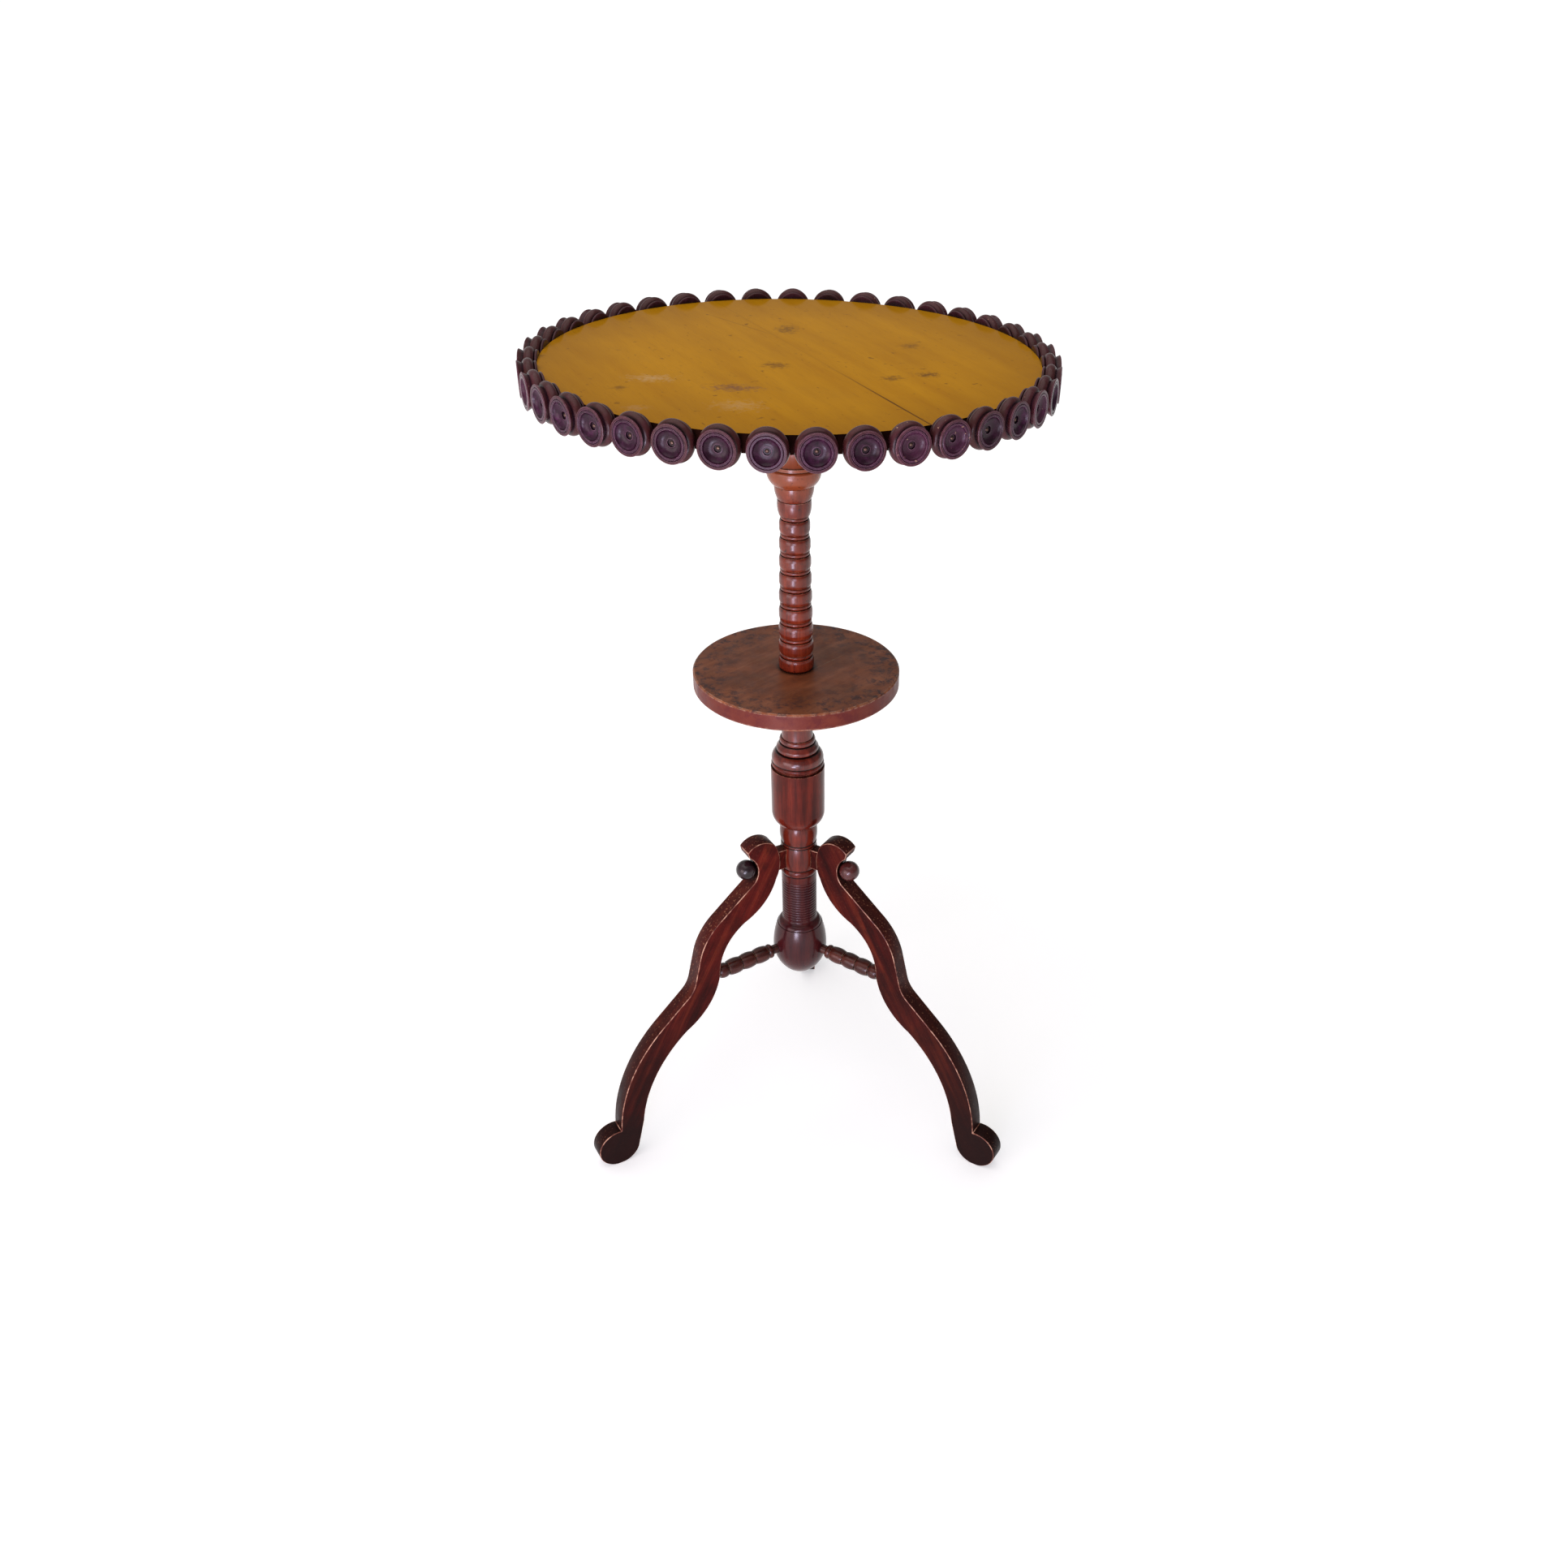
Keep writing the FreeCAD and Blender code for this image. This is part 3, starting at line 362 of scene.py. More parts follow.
# The joint has opened towards the front: the depths in y, and how much of the gap shows there.
JOINT_OPENS = (-0.03, -0.11)
JOINT_SHARES = (0.12, 0.95)
JOINT_GAP = (0.0011, 0.0003)
JOINT_COLOUR = srgb(70, 42, 14)
TOP_SCRATCH = ((-0.0797, 0.132), (-0.0127, 0.0588))
TOP_SCRATCH_WIDTH = 0.0008
TOP_SCRATCH_SHARE = 0.45
TOP_SCRATCH_COLOUR = srgb(104, 70, 26)
TOP_RIM = Tint(srgb(122, 78, 16), 0.12, 0.188, 0.4)
FACING_UP = (0.4, 0.8)
STAIN_TONES = (srgb(20, 8, 6), srgb(40, 18, 13))
TOP_SHINE_NOISE = Noise(55.0, 5.0)
TOP_SHINE = (0.08, 0.16)
TOP_EDGE_ROUGHNESS = 0.7
TOP_STREAK_RELIEF = 0.8
TOP_PORE_RELIEF = 0.3
TOP_RELIEF = 0.00005


def top_look():
    look = Look("varnished_top", Specular_IOR_Level=TOP_SPECULAR)
    along = look.turned(look.turned(look.place, "Z", -JOINT_ANGLE), "X", 90)
    streaks, pores = grain(look, along, *TOP_GRAIN)
    colour = look.ramp(streaks, TOP_STOPS, TOP_TONES)
    colour = look.tinted(colour, TOP_PORES, pores)
    colour = look.tinted(colour, TOP_HAZE, look.noise(look.place, HAZE))
    x, y = look.axes(look.place)[:2]
    wobble = look.calc("SUBTRACT", look.noise(look.place, MARK_RAGS), MIDDLE)
    for across, back, half_width, half_depth, tone, strength in TOP_MARKS:
        reach_x = look.calc("DIVIDE", look.calc("SUBTRACT", x, across), half_width)
        reach_y = look.calc("DIVIDE", look.calc("SUBTRACT", y, back), half_depth)
        reach = look.from_axis(reach_x, reach_y)
        ragged = look.calc("MULTIPLY_ADD", wobble, MARK_RAGGEDNESS, reach)
        colour = look.tinted(colour, Tint(tone, MARK_EDGE, 0.0, strength), ragged)
    colour = look.tinted(colour, TOP_DENTS, look.noise(look.place, DENTS))
    colour = look.tinted(colour, TOP_FLECKS, look.noise(along, FLECKS))
    turn = math.radians(JOINT_ANGLE)
    off_joint = look.distance(look.weighed(x, math.cos(turn), y, math.sin(turn)), JOINT_OFFSET)
    opened = look.spread(y, *JOINT_OPENS, *JOINT_SHARES)
    gap = look.product(look.spread(off_joint, *JOINT_GAP), opened)
    colour = look.mix(gap, colour, JOINT_COLOUR)
    scratch = scratch_share(look, x, y, TOP_SCRATCH, TOP_SCRATCH_WIDTH)
    colour = look.mix(look.product(scratch, TOP_SCRATCH_SHARE), colour, TOP_SCRATCH_COLOUR)
    colour = look.tinted(colour, TOP_RIM, look.from_axis(x, y))
    upward = look.axes(look.normal())[2]
    stain = look.ramp(streaks, MOST, STAIN_TONES)
    colour = look.mix(look.spread(upward, *FACING_UP), stain, colour)
    gloss = look.spread(look.noise(look.place, TOP_SHINE_NOISE), *MOST, *TOP_SHINE)
    roughness = look.spread(upward, *FACING_UP, TOP_EDGE_ROUGHNESS, gloss)
    bumps = look.weighed(streaks, TOP_STREAK_RELIEF, pores, TOP_PORE_RELIEF)
    return look.finish(colour, roughness, bumps, TOP_RELIEF)


# Roundels: the colour follows each disc's own rings, and differs a little from disc to disc.
ROUNDEL_SPECULAR = 0.2
ROUNDEL_STREAKS = Noise(240.0, 4.0, 0.6)
ROUNDEL_STOPS = (0.3, 0.55, 0.8)
ROUNDEL_TONES = (srgb(28, 7, 21), srgb(55, 20, 44), srgb(86, 41, 73))
ROUNDEL_PALER = Tint(srgb(90, 46, 66), 0.6, 1.0, 0.55)
ROUNDEL_DARKER = Tint(srgb(34, 11, 20), 0.4, 0.0, 0.5)
LATHE = Noise(1300.0, 2.0)
LATHE_FEED = 0.4
ROUNDEL_LATHE = Tint(srgb(30, 11, 17), 0.4, 0.75, 0.45)
ROUNDEL_RIM = Tint(srgb(76, 36, 27), 0.0105, 0.0128, 0.6)
ROUNDEL_RUB = Noise(300.0, 4.0, 0.65)
ROUNDEL_WEAR_WIDTH = 0.0006
ROUNDEL_WEAR_LEVELS = (0.35, 0.65)
ROUNDEL_WEAR_SHARES = (0.35, 0.85)
ROUNDEL_WEAR_COLOUR = srgb(160, 112, 134)
CHIPS = Noise(420.0, 2.0)
CHIP_LEVELS = (0.7, 0.74)
CHIPPED_DISCS = (0.7, 0.8)
CHIP_COLOUR = srgb(176, 138, 112)
# Dirt and painted shade in the sheltered grooves and at the dish's edge, and how far the shelter is
# sought.
ROUNDEL_DIRT_AND_SHADE = srgb(9, 3, 5)
ROUNDEL_DIRT_AND_SHADE_REACH = 0.005
ROUNDEL_SHINE = (0.22, 0.34)
ROUNDEL_LATHE_RELIEF = 0.8
ROUNDEL_RUB_RELIEF = 0.5
ROUNDEL_RELIEF = 0.00004


def roundel_look():
    look = Look("turned_roundel", Specular_IOR_Level=ROUNDEL_SPECULAR)
    x, y, z = look.axes(look.place)
    pitch = 2 * math.pi / ROUNDEL_COUNT
    bearing = look.calc("SUBTRACT", look.calc("ARCTAN2", y, x), math.radians(ROUNDEL_TURN))
    swing = look.calc("WRAP", bearing, pitch / 2, -pitch / 2)
    number = look.calc("ROUND", look.calc("DIVIDE", look.calc("SUBTRACT", bearing, swing), pitch))
    own = look.add("ShaderNodeTexWhiteNoise", {"W": number}, noise_dimensions="1D").outputs["Value"]
    out = look.from_axis(x, y)
    across = look.product(out, look.calc("SINE", swing))
    ring = look.from_axis(across, look.calc("SUBTRACT", z, ROUNDEL_HEIGHT))
    colour = look.ramp(look.noise(look.place, ROUNDEL_STREAKS), ROUNDEL_STOPS, ROUNDEL_TONES)
    colour = look.tinted(colour, ROUNDEL_PALER, own)
    colour = look.tinted(colour, ROUNDEL_DARKER, own)
    lathe = look.noise(look.vector(ring, look.product(out, LATHE_FEED)), LATHE)
    colour = look.tinted(colour, ROUNDEL_LATHE, lathe)
    colour = look.tinted(colour, ROUNDEL_RIM, ring)
    rub = look.noise(look.place, ROUNDEL_RUB)
    rubbed = look.spread(rub, *ROUNDEL_WEAR_LEVELS, *ROUNDEL_WEAR_SHARES)
    wear = look.product(look.arris(ROUNDEL_WEAR_WIDTH), rubbed)
    colour = look.mix(wear, colour, ROUNDEL_WEAR_COLOUR)
    chip = look.spread(look.noise(look.place, CHIPS), *CHIP_LEVELS)
    chipped = look.product(chip, look.spread(own, *CHIPPED_DISCS))
    colour = look.mix(chipped, colour, CHIP_COLOUR)
    # Dirt and painted shade where the disc is sheltered.
    colour = look.mix(look.sheltered(ROUNDEL_DIRT_AND_SHADE_REACH), colour, ROUNDEL_DIRT_AND_SHADE)
    roughness = look.spread(rub, *MOST, *ROUNDEL_SHINE)
    bumps = look.weighed(lathe, ROUNDEL_LATHE_RELIEF, rub, ROUNDEL_RUB_RELIEF)
    return look.finish(colour, roughness, bumps, ROUNDEL_RELIEF)


# Metal of the pins and screws, rougher where its patina is thick.
PATINA = Noise(700.0, 4.0, 0.6)
PATINA_STOPS = (0.35, 0.65)
PATINA_ROUGHNESS = 0.15
PATINA_RELIEF = 0.00005


def metal_look(name, bright, dull, roughness):
    look = Look(name, Metallic=1.0)
    patina = look.noise(look.place, PATINA)
    colour = look.ramp(patina, PATINA_STOPS, (dull, bright))
    rough = look.spread(patina, *MOST, roughness + PATINA_ROUGHNESS, roughness)
    return look.finish(colour, rough, patina, PATINA_RELIEF)


# Shelf: brown and blotched on top, more so by the rim, redder round the edge, with one long scratch.
SHELF_TONES = (srgb(138, 78, 50), srgb(158, 92, 60), srgb(175, 107, 73))
SHELF_GRAIN_TURN = 42
SHELF_WORN = srgb(204, 164, 134)
BLOTCHES = Noise(95.0, 6.0, 0.75)
BLOTCH_LEVELS = (0.48, 0.6)
BLOTCH_RIM = (0.045, 0.08)
BLOTCH_SHARES = (0.2, 0.95)
BLOTCH_COLOUR = srgb(76, 52, 52)
BLOOM = Noise(60.0, 5.0, 0.65)
SHELF_BLOOM = Tint(srgb(152, 98, 62), 0.54, 0.74, 0.45)
SHELF_SCRATCH = ((0.012, -0.0072), (0.041, 0.025))
SHELF_SCRATCH_WIDTH = 0.0007
SHELF_SCRATCH_COLOUR = srgb(176, 140, 108)
SCRATCH_BREAKS = Noise(140.0, 2.0)
SCRATCH_BREAK_LEVELS = (0.4, 0.55)
SHELF_SCRATCH_SHARE = 0.8
SHELF_EDGE_SHARE = 0.85
SHELF_EDGE_COLOUR = srgb(92, 29, 27)
SHELF_FLAT = (0.3, 0.75)


def shelf_tones(look, colour):
    x, y = look.axes(look.place)[:2]
    by_rim = look.spread(look.from_axis(x, y), *BLOTCH_RIM, *BLOTCH_SHARES)
    blotch = look.spread(look.noise(look.place, BLOTCHES), *BLOTCH_LEVELS)
    colour = look.mix(look.product(blotch, by_rim), colour, BLOTCH_COLOUR)
    colour = look.tinted(colour, SHELF_BLOOM, look.noise(look.place, BLOOM))
    scratch = scratch_share(look, x, y, SHELF_SCRATCH, SHELF_SCRATCH_WIDTH)
    breaks = look.noise(look.place, SCRATCH_BREAKS)
    broken = look.spread(breaks, *SCRATCH_BREAK_LEVELS, 0.0, SHELF_SCRATCH_SHARE)
    colour = look.mix(look.product(scratch, broken), colour, SHELF_SCRATCH_COLOUR)
    flatness = look.calc("ABSOLUTE", look.axes(look.normal())[2])
    edge = look.mix(SHELF_EDGE_SHARE, colour, SHELF_EDGE_COLOUR)
    return look.mix(look.spread(flatness, *SHELF_FLAT), edge, colour)


# Lower column: purple-brown at the ball and the reeds, redder above, with burnt streaks.
# The heights are those of its turnings, each over the few millimetres in which the gloss changes.
STEM_TONES = (srgb(61, 15, 9), srgb(94, 28, 17), srgb(116, 43, 27))
# Its dirt and painted shade in the grooves, also the colour of the dirt lines in its joints.
STEM_DIRT_AND_SHADE = srgb(26, 9, 7)
STEM_JOINTS = (0.2764, 0.2836, 0.3077, 0.3106, 0.3301, 0.3958, 0.4059, 0.4139)
STEM_WORN_ABOVE = 0.282
STEM_LOW = Tint(srgb(40, 15, 23), 0.285, 0.262, 0.7)
BURNS = Noise((70, 70, 25), 4.0, 0.65)
STEM_BURNS = Tint(srgb(52, 21, 15), 0.56, 0.68, 0.4)
BALL_TOP = (0.216, 0.224)
REEDS_TOP = (0.28, 0.29)
DRUM_FOOT = (0.334, 0.34)
DRUM_HEAD = (0.394, 0.398)
BALL_SPECULAR = 0.27
REEDS_SPECULAR = 0.2
BARRELS_GAIN = 0.1
SHOULDER_GAIN = 0.2
DRUM_GAIN = -0.14


def lower_column_tones(look, colour):
    colour = look.tinted(colour, STEM_LOW, look.height())
    return look.tinted(colour, STEM_BURNS, look.noise(look.place, BURNS))


def lower_column_sheen(look):
    up = look.height()
    on_drum = look.product(look.spread(up, *DRUM_FOOT), look.spread(up, *DRUM_HEAD, 1.0, 0.0))
    level = look.spread(up, *BALL_TOP, BALL_SPECULAR, REEDS_SPECULAR)
    level = look.calc("ADD", level, look.spread(up, *REEDS_TOP, 0.0, BARRELS_GAIN))
    level = look.calc("ADD", level, look.spread(up, *DRUM_HEAD, 0.0, SHOULDER_GAIN))
    return look.calc("MULTIPLY_ADD", on_drum, DRUM_GAIN, level)


# Upper column: paler at the bowl, with painted light just above the shelf that shades it, and dark
# specks.
COLUMN_TONES = (srgb(70, 18, 8), srgb(102, 31, 14), srgb(126, 48, 25))
COLUMN_BOWL = Tint(srgb(156, 82, 46), 0.632, 0.652, 0.55)
COLUMN_FOOT_PAINTED_LIGHT = (0.49, 0.56)
COLUMN_FOOT_LIGHT_LEVELS = (1.5, 1.0)
SPECKS = Noise(330.0, 3.0, 0.6)
COLUMN_SPECKS = Tint(srgb(42, 17, 12), 0.62, 0.69, 0.8)


def upper_column_tones_and_light(look, colour):
    up = look.height()
    colour = look.tinted(colour, COLUMN_BOWL, up)
    # Painted light just above the shelf, where the shelf keeps lamp and floor light off the column.
    colour = look.shaded(colour, look.spread(up, *COLUMN_FOOT_PAINTED_LIGHT, *COLUMN_FOOT_LIGHT_LEVELS))
    return look.tinted(colour, COLUMN_SPECKS, look.noise(look.place, SPECKS))


# Legs: mahogany that darkens towards the foot, with grain along the board and rubbed arrises.
# Their edges are told from their sides by the normal's share across the board.
LEG_TONES = (srgb(47, 9, 8), srgb(84, 21, 16), srgb(121, 47, 28))
# Painted shade: the right and back legs are darker copies of the left one, which faces the light.
LEG_PAINTED_SHADES = {"left": 1.0, "right": 0.56, "back": 0.8}
LEG_GRAIN_TILT = 28.0
LEG_EDGE_LEVELS = (0.7, 0.3)
LEG_EDGE = Tint(srgb(58, 26, 22), *LEG_EDGE_LEVELS, 0.6)
LEG_DRIFT = Noise(22.0)
LEG_DRIFT_REACH = 0.12
LEG_FOOT = Tint(srgb(24, 9, 8), 0.24, 0.03, 0.94)
SOOT = Noise((48, 48, 30), 4.0, 0.6)
LEG_SOOT = Tint(srgb(34, 11, 9), 0.55, 0.7, 0.55)
FRECKLES = Noise(560.0, 2.0)
FRECKLE_LEVELS = (0.62, 0.68)
FRECKLE_HEIGHTS = (0.1, 0.31)
FRECKLE_HEIGHT_SHARES = (0.15, 0.75)
FRECKLE_EDGE_SHARES = (0.1, 1.0)
FRECKLE_COLOUR = srgb(158, 108, 80)


def leg_along(turn):
    return lambda look: look.turned(look.turned(look.place, "Z", -turn), "Y", LEG_GRAIN_TILT)


def leg_tones(turn, shade):
    def recolour(look, colour):
        up = look.height()
        # Painted shade, by the leg's own level.
        colour = look.shaded(colour, shade)
        across = look.calc("ABSOLUTE", look.axes(look.turned(look.normal(), "Z", -turn))[1])
        colour = look.tinted(colour, LEG_EDGE, across)
        drift = look.calc("SUBTRACT", look.noise(look.place, LEG_DRIFT), MIDDLE)
        level = look.calc("MULTIPLY_ADD", drift, LEG_DRIFT_REACH, up)
        colour = look.tinted(colour, LEG_FOOT, level)
        colour = look.tinted(colour, LEG_SOOT, look.noise(look.place, SOOT))
        freckle = look.spread(look.noise(look.place, FRECKLES), *FRECKLE_LEVELS)
        by_height = look.spread(up, *FRECKLE_HEIGHTS, *FRECKLE_HEIGHT_SHARES)
        by_edge = look.spread(across, *LEG_EDGE_LEVELS, *FRECKLE_EDGE_SHARES)
        freckle = look.product(look.product(freckle, by_height), by_edge)
        return look.mix(freckle, colour, FRECKLE_COLOUR)

    return recolour


# Arrises of the legs: their width in metres, and the angles in degrees that count as sharp and as flat.
ARRIS_WIDTH = 0.0006
ARRIS_SEGMENTS = 2
ARRIS_ANGLE = 50.0
FLAT_ANGLE = 0.5
WELD = 1e-6
ARRIS_SPECULAR = 0.3
ARRIS_RUB = Noise(120.0, 4.0, 0.65)
ARRIS_STOPS = (0.32, 0.46, 0.64)
ARRIS_TONES = (srgb(66, 26, 20), srgb(118, 66, 50), srgb(196, 150, 124))
ARRIS_SHINE = (0.35, 0.55)
ARRIS_RELIEF = 0.0001


def arris_look(name):
    look = Look(name, Specular_IOR_Level=ARRIS_SPECULAR)
    rub = look.noise(look.place, ARRIS_RUB)
    colour = look.ramp(rub, ARRIS_STOPS, ARRIS_TONES)
    return look.finish(colour, look.spread(rub, *MOST, *ARRIS_SHINE), rub, ARRIS_RELIEF)


def is_arris(edge):
    return edge.is_manifold and edge.calc_face_angle() > math.radians(ARRIS_ANGLE)


def leg_copy(name, turn):
    """A leg with its arrises eased, in place of the sharp-edged solid."""
    node = f"leg_{name}"
    mesh = parts[node].data.copy()
    mesh.name = f"eased_{node}"
    mesh.materials.clear()
    mesh.materials.append(
        polished_wood(
            f"mahogany_{node}",
            LEG_TONES,
            leg_along(turn),
            coarse=110,
            stretch=18,
            dirt_and_shade=GROOVE_DIRT_AND_SHADE,
            dirt_and_shade_reach=0.006,
            shine=(0.3, 0.5),
            recolour=leg_tones(turn, LEG_PAINTED_SHADES[name]),
            specular=0.06,
            relief=0.0001,
        )
    )
    mesh.materials.append(arris_look(f"rubbed_{node}"))
    form = bmesh.new()
    form.from_mesh(mesh)
    bmesh.ops.remove_doubles(form, verts=form.verts, dist=WELD)
    bmesh.ops.dissolve_limit(
        form, angle_limit=math.radians(FLAT_ANGLE), verts=form.verts, edges=form.edges
    )
    bmesh.ops.bevel(
        form,
        geom=[edge for edge in form.edges if is_arris(edge)],
        offset=ARRIS_WIDTH,
        segments=ARRIS_SEGMENTS,
        profile=0.5,
        affect="EDGES",
        material=1,
    )
    form.to_mesh(mesh)
    form.free()
    leg = bpy.data.objects.new(f"eased_{node}", mesh)
    bpy.context.scene.collection.objects.link(leg)
    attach(leg, "root")
    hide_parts(node)


# The other woods.
BALL_TONES = {
    "left": (srgb(18, 7, 10), srgb(32, 15, 20), srgb(44, 24, 30)),
    "right": (srgb(50, 17, 17), srgb(74, 31, 29), srgb(92, 43, 40)),
    "back": (srgb(32, 11, 12), srgb(50, 22, 23), srgb(70, 34, 32)),
}
STRETCHER_TONES = (srgb(40, 12, 9), srgb(66, 25, 18), srgb(86, 39, 29))
CLEAT_TONES = (srgb(84, 54, 36), srgb(112, 74, 48), srgb(134, 92, 62))

dress(top_look(), "top_board_wide", "top_board_narrow")
dress(roundel_look(), *(f"roundel_{index + 1:02d}" for index in range(ROUNDEL_COUNT)))
dress(metal_look("dull_brass", srgb(128, 104, 92), srgb(74, 54, 50), 0.45), "roundel_pins")
dress(metal_look("dull_steel", srgb(150, 146, 140), srgb(92, 86, 82), 0.35), "cleat_screws")
dress(
    polished_wood(
        "upper_column_wood",
        COLUMN_TONES,
        coarse=150,
        dirt_and_shade=GROOVE_DIRT_AND_SHADE,
        dirt_and_shade_reach=0.003,
        worn=RUBBED,
        shine=(0.2, 0.29),
        recolour=upper_column_tones_and_light,
        specular=0.42,
        relief=0.00001,
    ),
    "upper_column",
)
dress(
    polished_wood(
        "lower_column_wood",
        STEM_TONES,
        coarse=170,
        dirt_and_shade=STEM_DIRT_AND_SHADE,
        dirt_and_shade_reach=0.0022,
        worn=RUBBED,
        worn_width=0.0012,
        worn_above=STEM_WORN_ABOVE,
        joints=STEM_JOINTS,
        shine=(0.16, 0.25),
        recolour=lower_column_tones,
        specular=0.25,
        sheen=lower_column_sheen,
    ),
    "lower_column",
)
dress(
    polished_wood(
        "shelf_wood_worn",
        SHELF_TONES,
        lambda look: look.turned(look.turned(look.place, "Z", SHELF_GRAIN_TURN), "X", 90),
        coarse=90,
        stretch=12,
        dirt_and_shade=GROOVE_DIRT_AND_SHADE,
        dirt_and_shade_reach=0.006,
        worn=SHELF_WORN,
        worn_width=0.0022,
        shine=(0.3, 0.5),
        recolour=shelf_tones,
        specular=0.14,
        relief=0.0001,
    ),
    "shelf",
)
dress(
    polished_wood(
        "plain_cleat",
        CLEAT_TONES,
        lambda look: look.turned(look.place, "Y", 90),
        coarse=90,
        stretch=12,
        dirt_and_shade=GROOVE_DIRT_AND_SHADE,
        shine=(0.6, 0.75),
        specular=0.1,
    ),
    "top_cleat",
)
for side, turn in LEG_TURNS.items():
    leg_copy(side, turn)
    dress(
        polished_wood(f"ball_wood_{side}", BALL_TONES[side], coarse=220, shine=(0.18, 0.28)),
        f"ball_{side}",
    )
    dress(
        polished_wood(
            f"stretcher_wood_{side}",
            STRETCHER_TONES,
            lambda look, turn=turn: look.turned(look.turned(look.place, "Z", -turn), "Y", 90),
            coarse=200,
            stretch=12,
            dirt_and_shade=GROOVE_DIRT_AND_SHADE,
            dirt_and_shade_reach=0.003,
            worn=RUBBED,
            shine=(0.22, 0.32),
            specular=0.3,
        ),
        f"stretcher_{side}",
    )


def make_camera():
    """The camera of the photograph."""
    flat = math.cos(CAMERA_PITCH)
    ahead = Vector((math.sin(CAMERA_YAW), math.cos(CAMERA_YAW), 0))
    forward = ahead * flat - Vector((0, 0, math.sin(CAMERA_PITCH)))
    level = Vector((math.cos(CAMERA_YAW), -math.sin(CAMERA_YAW), 0))
    upright = level.cross(forward)
    right = math.cos(CAMERA_ROLL) * level + math.sin(CAMERA_ROLL) * upright
    up = math.cos(CAMERA_ROLL) * upright - math.sin(CAMERA_ROLL) * level
    facing = Matrix((right, up, -forward)).transposed().to_4x4()
    camera = bpy.data.objects.new("camera", bpy.data.cameras.new("camera"))
    bpy.context.scene.collection.objects.link(camera)
    camera.matrix_world = Matrix.Translation(CAMERA_PLACE) @ facing
    camera.data.sensor_width = SENSOR
    camera.data.lens = SENSOR * FOCAL_PIXELS / PHOTO_SIDE
    camera.data.shift_x = 0.5 - AXIS_PIXEL[0] / PHOTO_SIDE
    camera.data.shift_y = AXIS_PIXEL[1] / PHOTO_SIDE - 0.5
    bpy.context.scene.camera = camera


class Softbox(NamedTuple):
    """A lamp behind a cloth, with its place, what it faces and its size in metres, and its watts."""

    name: str
    place: tuple
    aim: tuple
    width: float
    height: float
    power: float
    colour: tuple


SOFTBOXES = (
    Softbox("window", (-1.5, -1.6, 0.6), (0, 0, 0.45), 1.4, 1.0, 16, (1.0, 0.82, 0.86)),
    Softbox("front", (-0.14, -1.95, 0.475), (0, 0, 0.475), 0.75, 0.6, 14, (0.82, 0.76, 1.0)),
    Softbox("low", (-0.3, -1.2, 0.13), (0, 0, 0.35), 0.3, 0.14, 5.5, (0.82, 0.76, 1.0)),
    Softbox("overhead", (-0.2, -0.2, 2.6), (0, 0, 0.5), 2.6, 2.6, 25, (1.0, 0.97, 0.93)),
)


def hang(softbox):
    lamp = bpy.data.lights.new(softbox.name, "AREA")
    lamp.shape = "RECTANGLE"
    lamp.size = softbox.width
    lamp.size_y = softbox.height
    lamp.energy = softbox.power
    lamp.color = softbox.colour
    holder = bpy.data.objects.new(softbox.name, lamp)
    holder.location = softbox.place
    towards = Vector(softbox.aim) - Vector(softbox.place)
    holder.rotation_euler = towards.to_track_quat("-Z", "Y").to_euler()
    holder.visible_camera = False
    bpy.context.scene.collection.objects.link(holder)


# Room: the light of a studio by the sine of the height above the horizon.
# It is palest at the horizon, dimmer above that and pale again overhead, and it dims to the right.
ROOM_SINES = (0.0, 0.05, 0.2, 0.6, 1.0)
ROOM_LEVELS = (0.95, 0.8, 0.62, 0.62, 0.8)
RIGHT_REACH = (-0.3, 0.6)
RIGHT_SHARE = 0.4


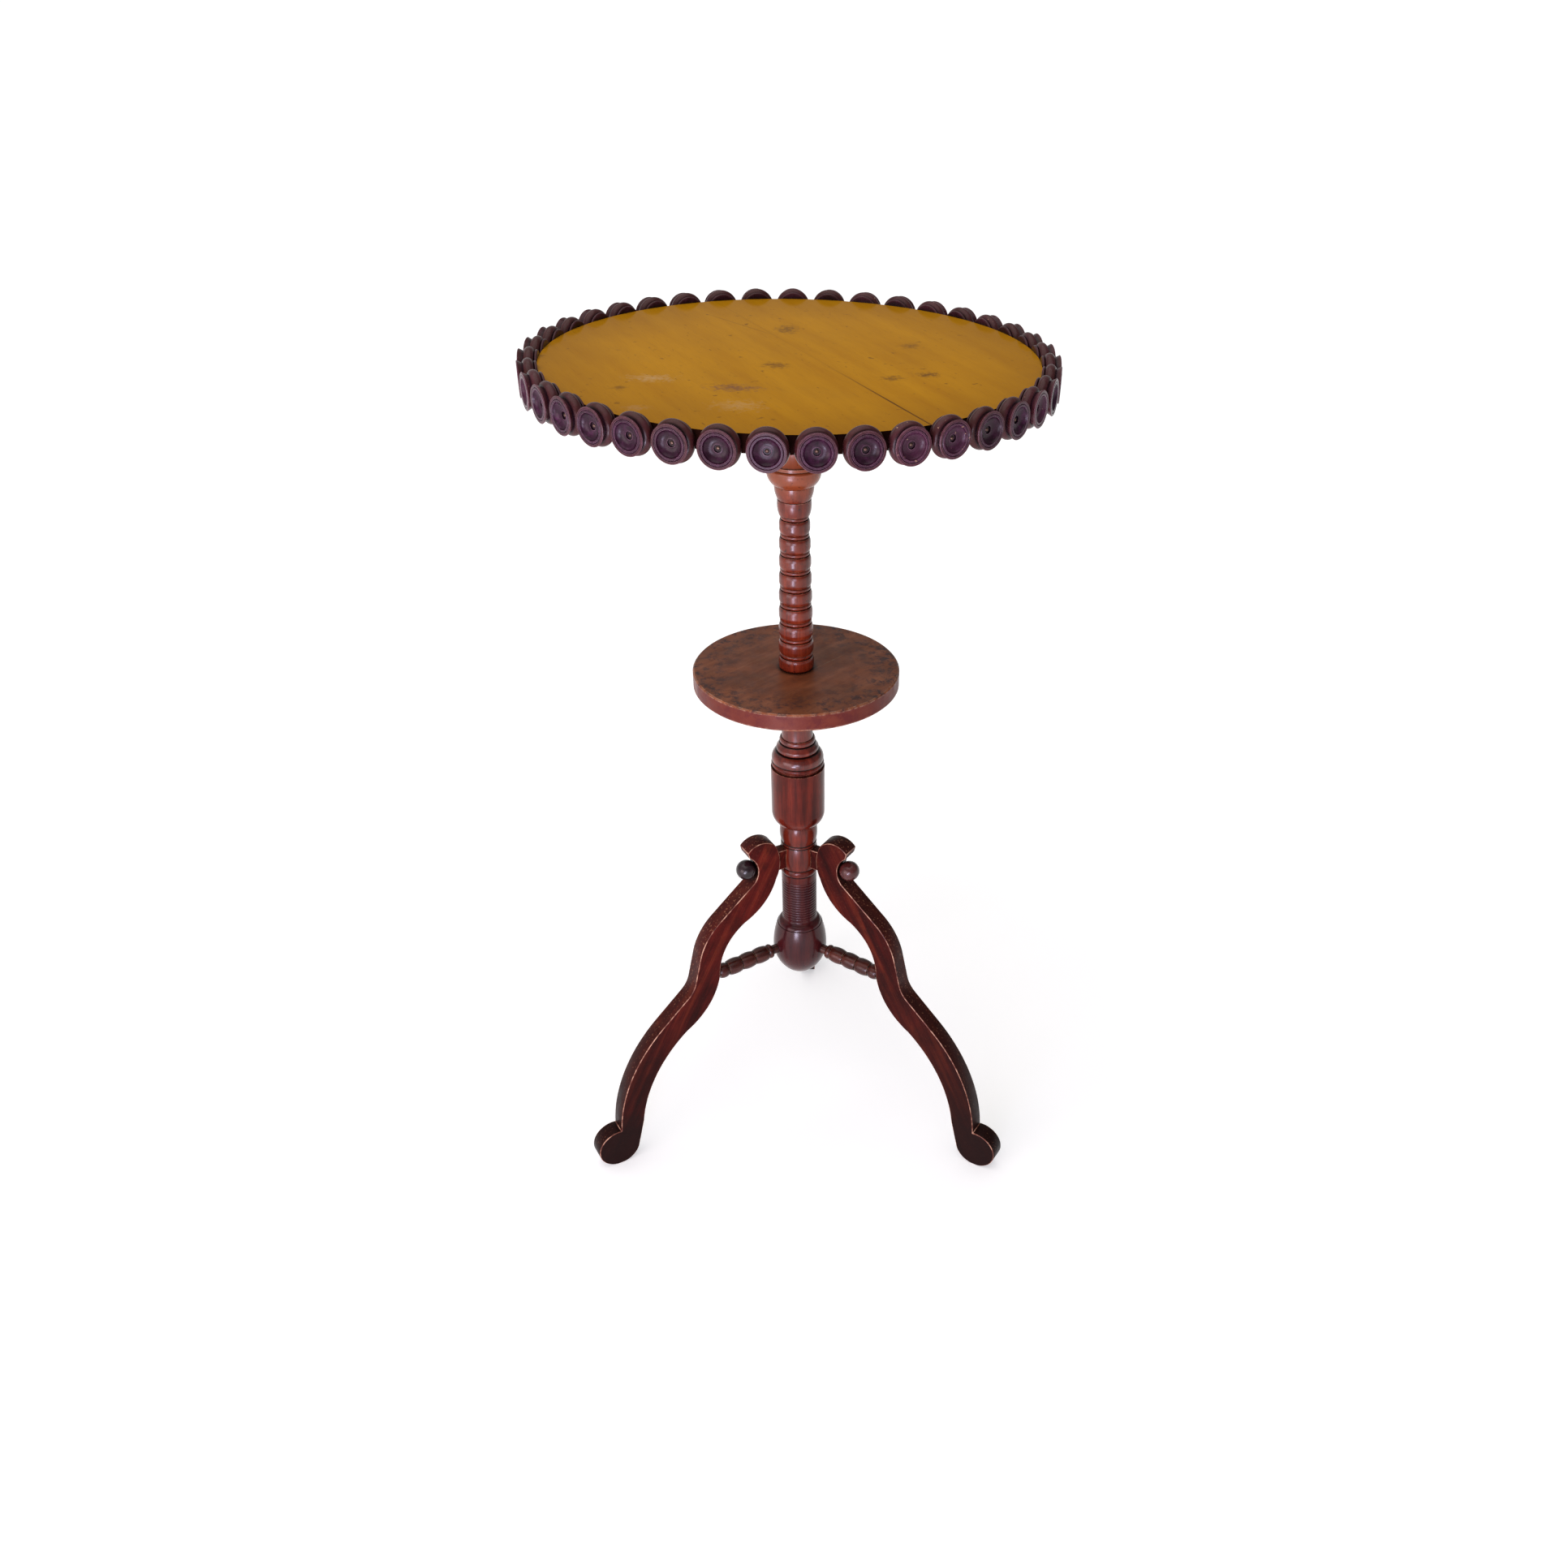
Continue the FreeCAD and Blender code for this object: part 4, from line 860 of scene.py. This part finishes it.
def make_world():
    world = bpy.data.worlds.new("studio")
    world.use_nodes = True
    bpy.context.scene.world = world
    nodes = Nodes(world.node_tree)
    x, _, z = nodes.axes(nodes.add("ShaderNodeTexCoord").outputs["Generated"])
    greys = [(level, level, level, 1) for level in ROOM_LEVELS]
    room = nodes.ramp(z, ROOM_SINES, greys)
    room = nodes.shaded(room, nodes.spread(x, *RIGHT_REACH, 1.0, RIGHT_SHARE))
    nodes.feed(nodes.tree.nodes["Background"].inputs["Color"], room)


def seen_directly(nodes):
    """1 for what the camera sees, straight or in gloss and glass, and 0 for light on the object."""
    path = nodes.add("ShaderNodeLightPath").outputs
    straight_or_gloss = nodes.calc("MAXIMUM", path["Is Camera Ray"], path["Is Glossy Ray"])
    return nodes.calc("MAXIMUM", straight_or_gloss, path["Is Transmission Ray"])


# Floor: pale, and lifted to white for the eye, less so by the table, so that its shadow stays.
FLOOR_HALF = 200.0
FLOOR_DROP = 0.0005
FLOOR_COLOUR = (0.8, 0.8, 0.8, 1)
GLOW_COLOUR = (1, 1, 1, 1)
GLOW_REACH = (0.4, 1.6)
GLOW = (0.4, 0.64)


def floor_look():
    material = bpy.data.materials.new("pale_floor")
    material.use_nodes = True
    nodes = Nodes(material.node_tree)
    nodes.tree.nodes.clear()
    place = nodes.add("ShaderNodeTexCoord").outputs["Object"]
    away = nodes.add("ShaderNodeVectorMath", {0: place}, operation="LENGTH").outputs["Value"]
    lift = nodes.product(seen_directly(nodes), nodes.spread(away, *GLOW_REACH, *GLOW))
    matt = nodes.add("ShaderNodeBsdfDiffuse", {"Color": FLOOR_COLOUR}).outputs[0]
    glow = nodes.add("ShaderNodeEmission", {"Color": GLOW_COLOUR, "Strength": lift}).outputs[0]
    both = nodes.add("ShaderNodeAddShader", {0: matt, 1: glow}).outputs[0]
    nodes.add("ShaderNodeOutputMaterial", {"Surface": both})
    return material


def make_floor():
    mesh = bpy.data.meshes.new("floor")
    half = FLOOR_HALF
    corners = [(-half, -half, 0), (half, -half, 0), (half, half, 0), (-half, half, 0)]
    mesh.from_pydata(corners, [], [(0, 1, 2, 3)])
    mesh.materials.append(floor_look())
    floor = bpy.data.objects.new("floor", mesh)
    bpy.context.scene.collection.objects.link(floor)
    floor.location.z = -FLOOR_DROP


make_camera()
make_world()
make_floor()
for softbox in SOFTBOXES:
    hang(softbox)
bpy.context.scene.view_settings.view_transform = "Standard"
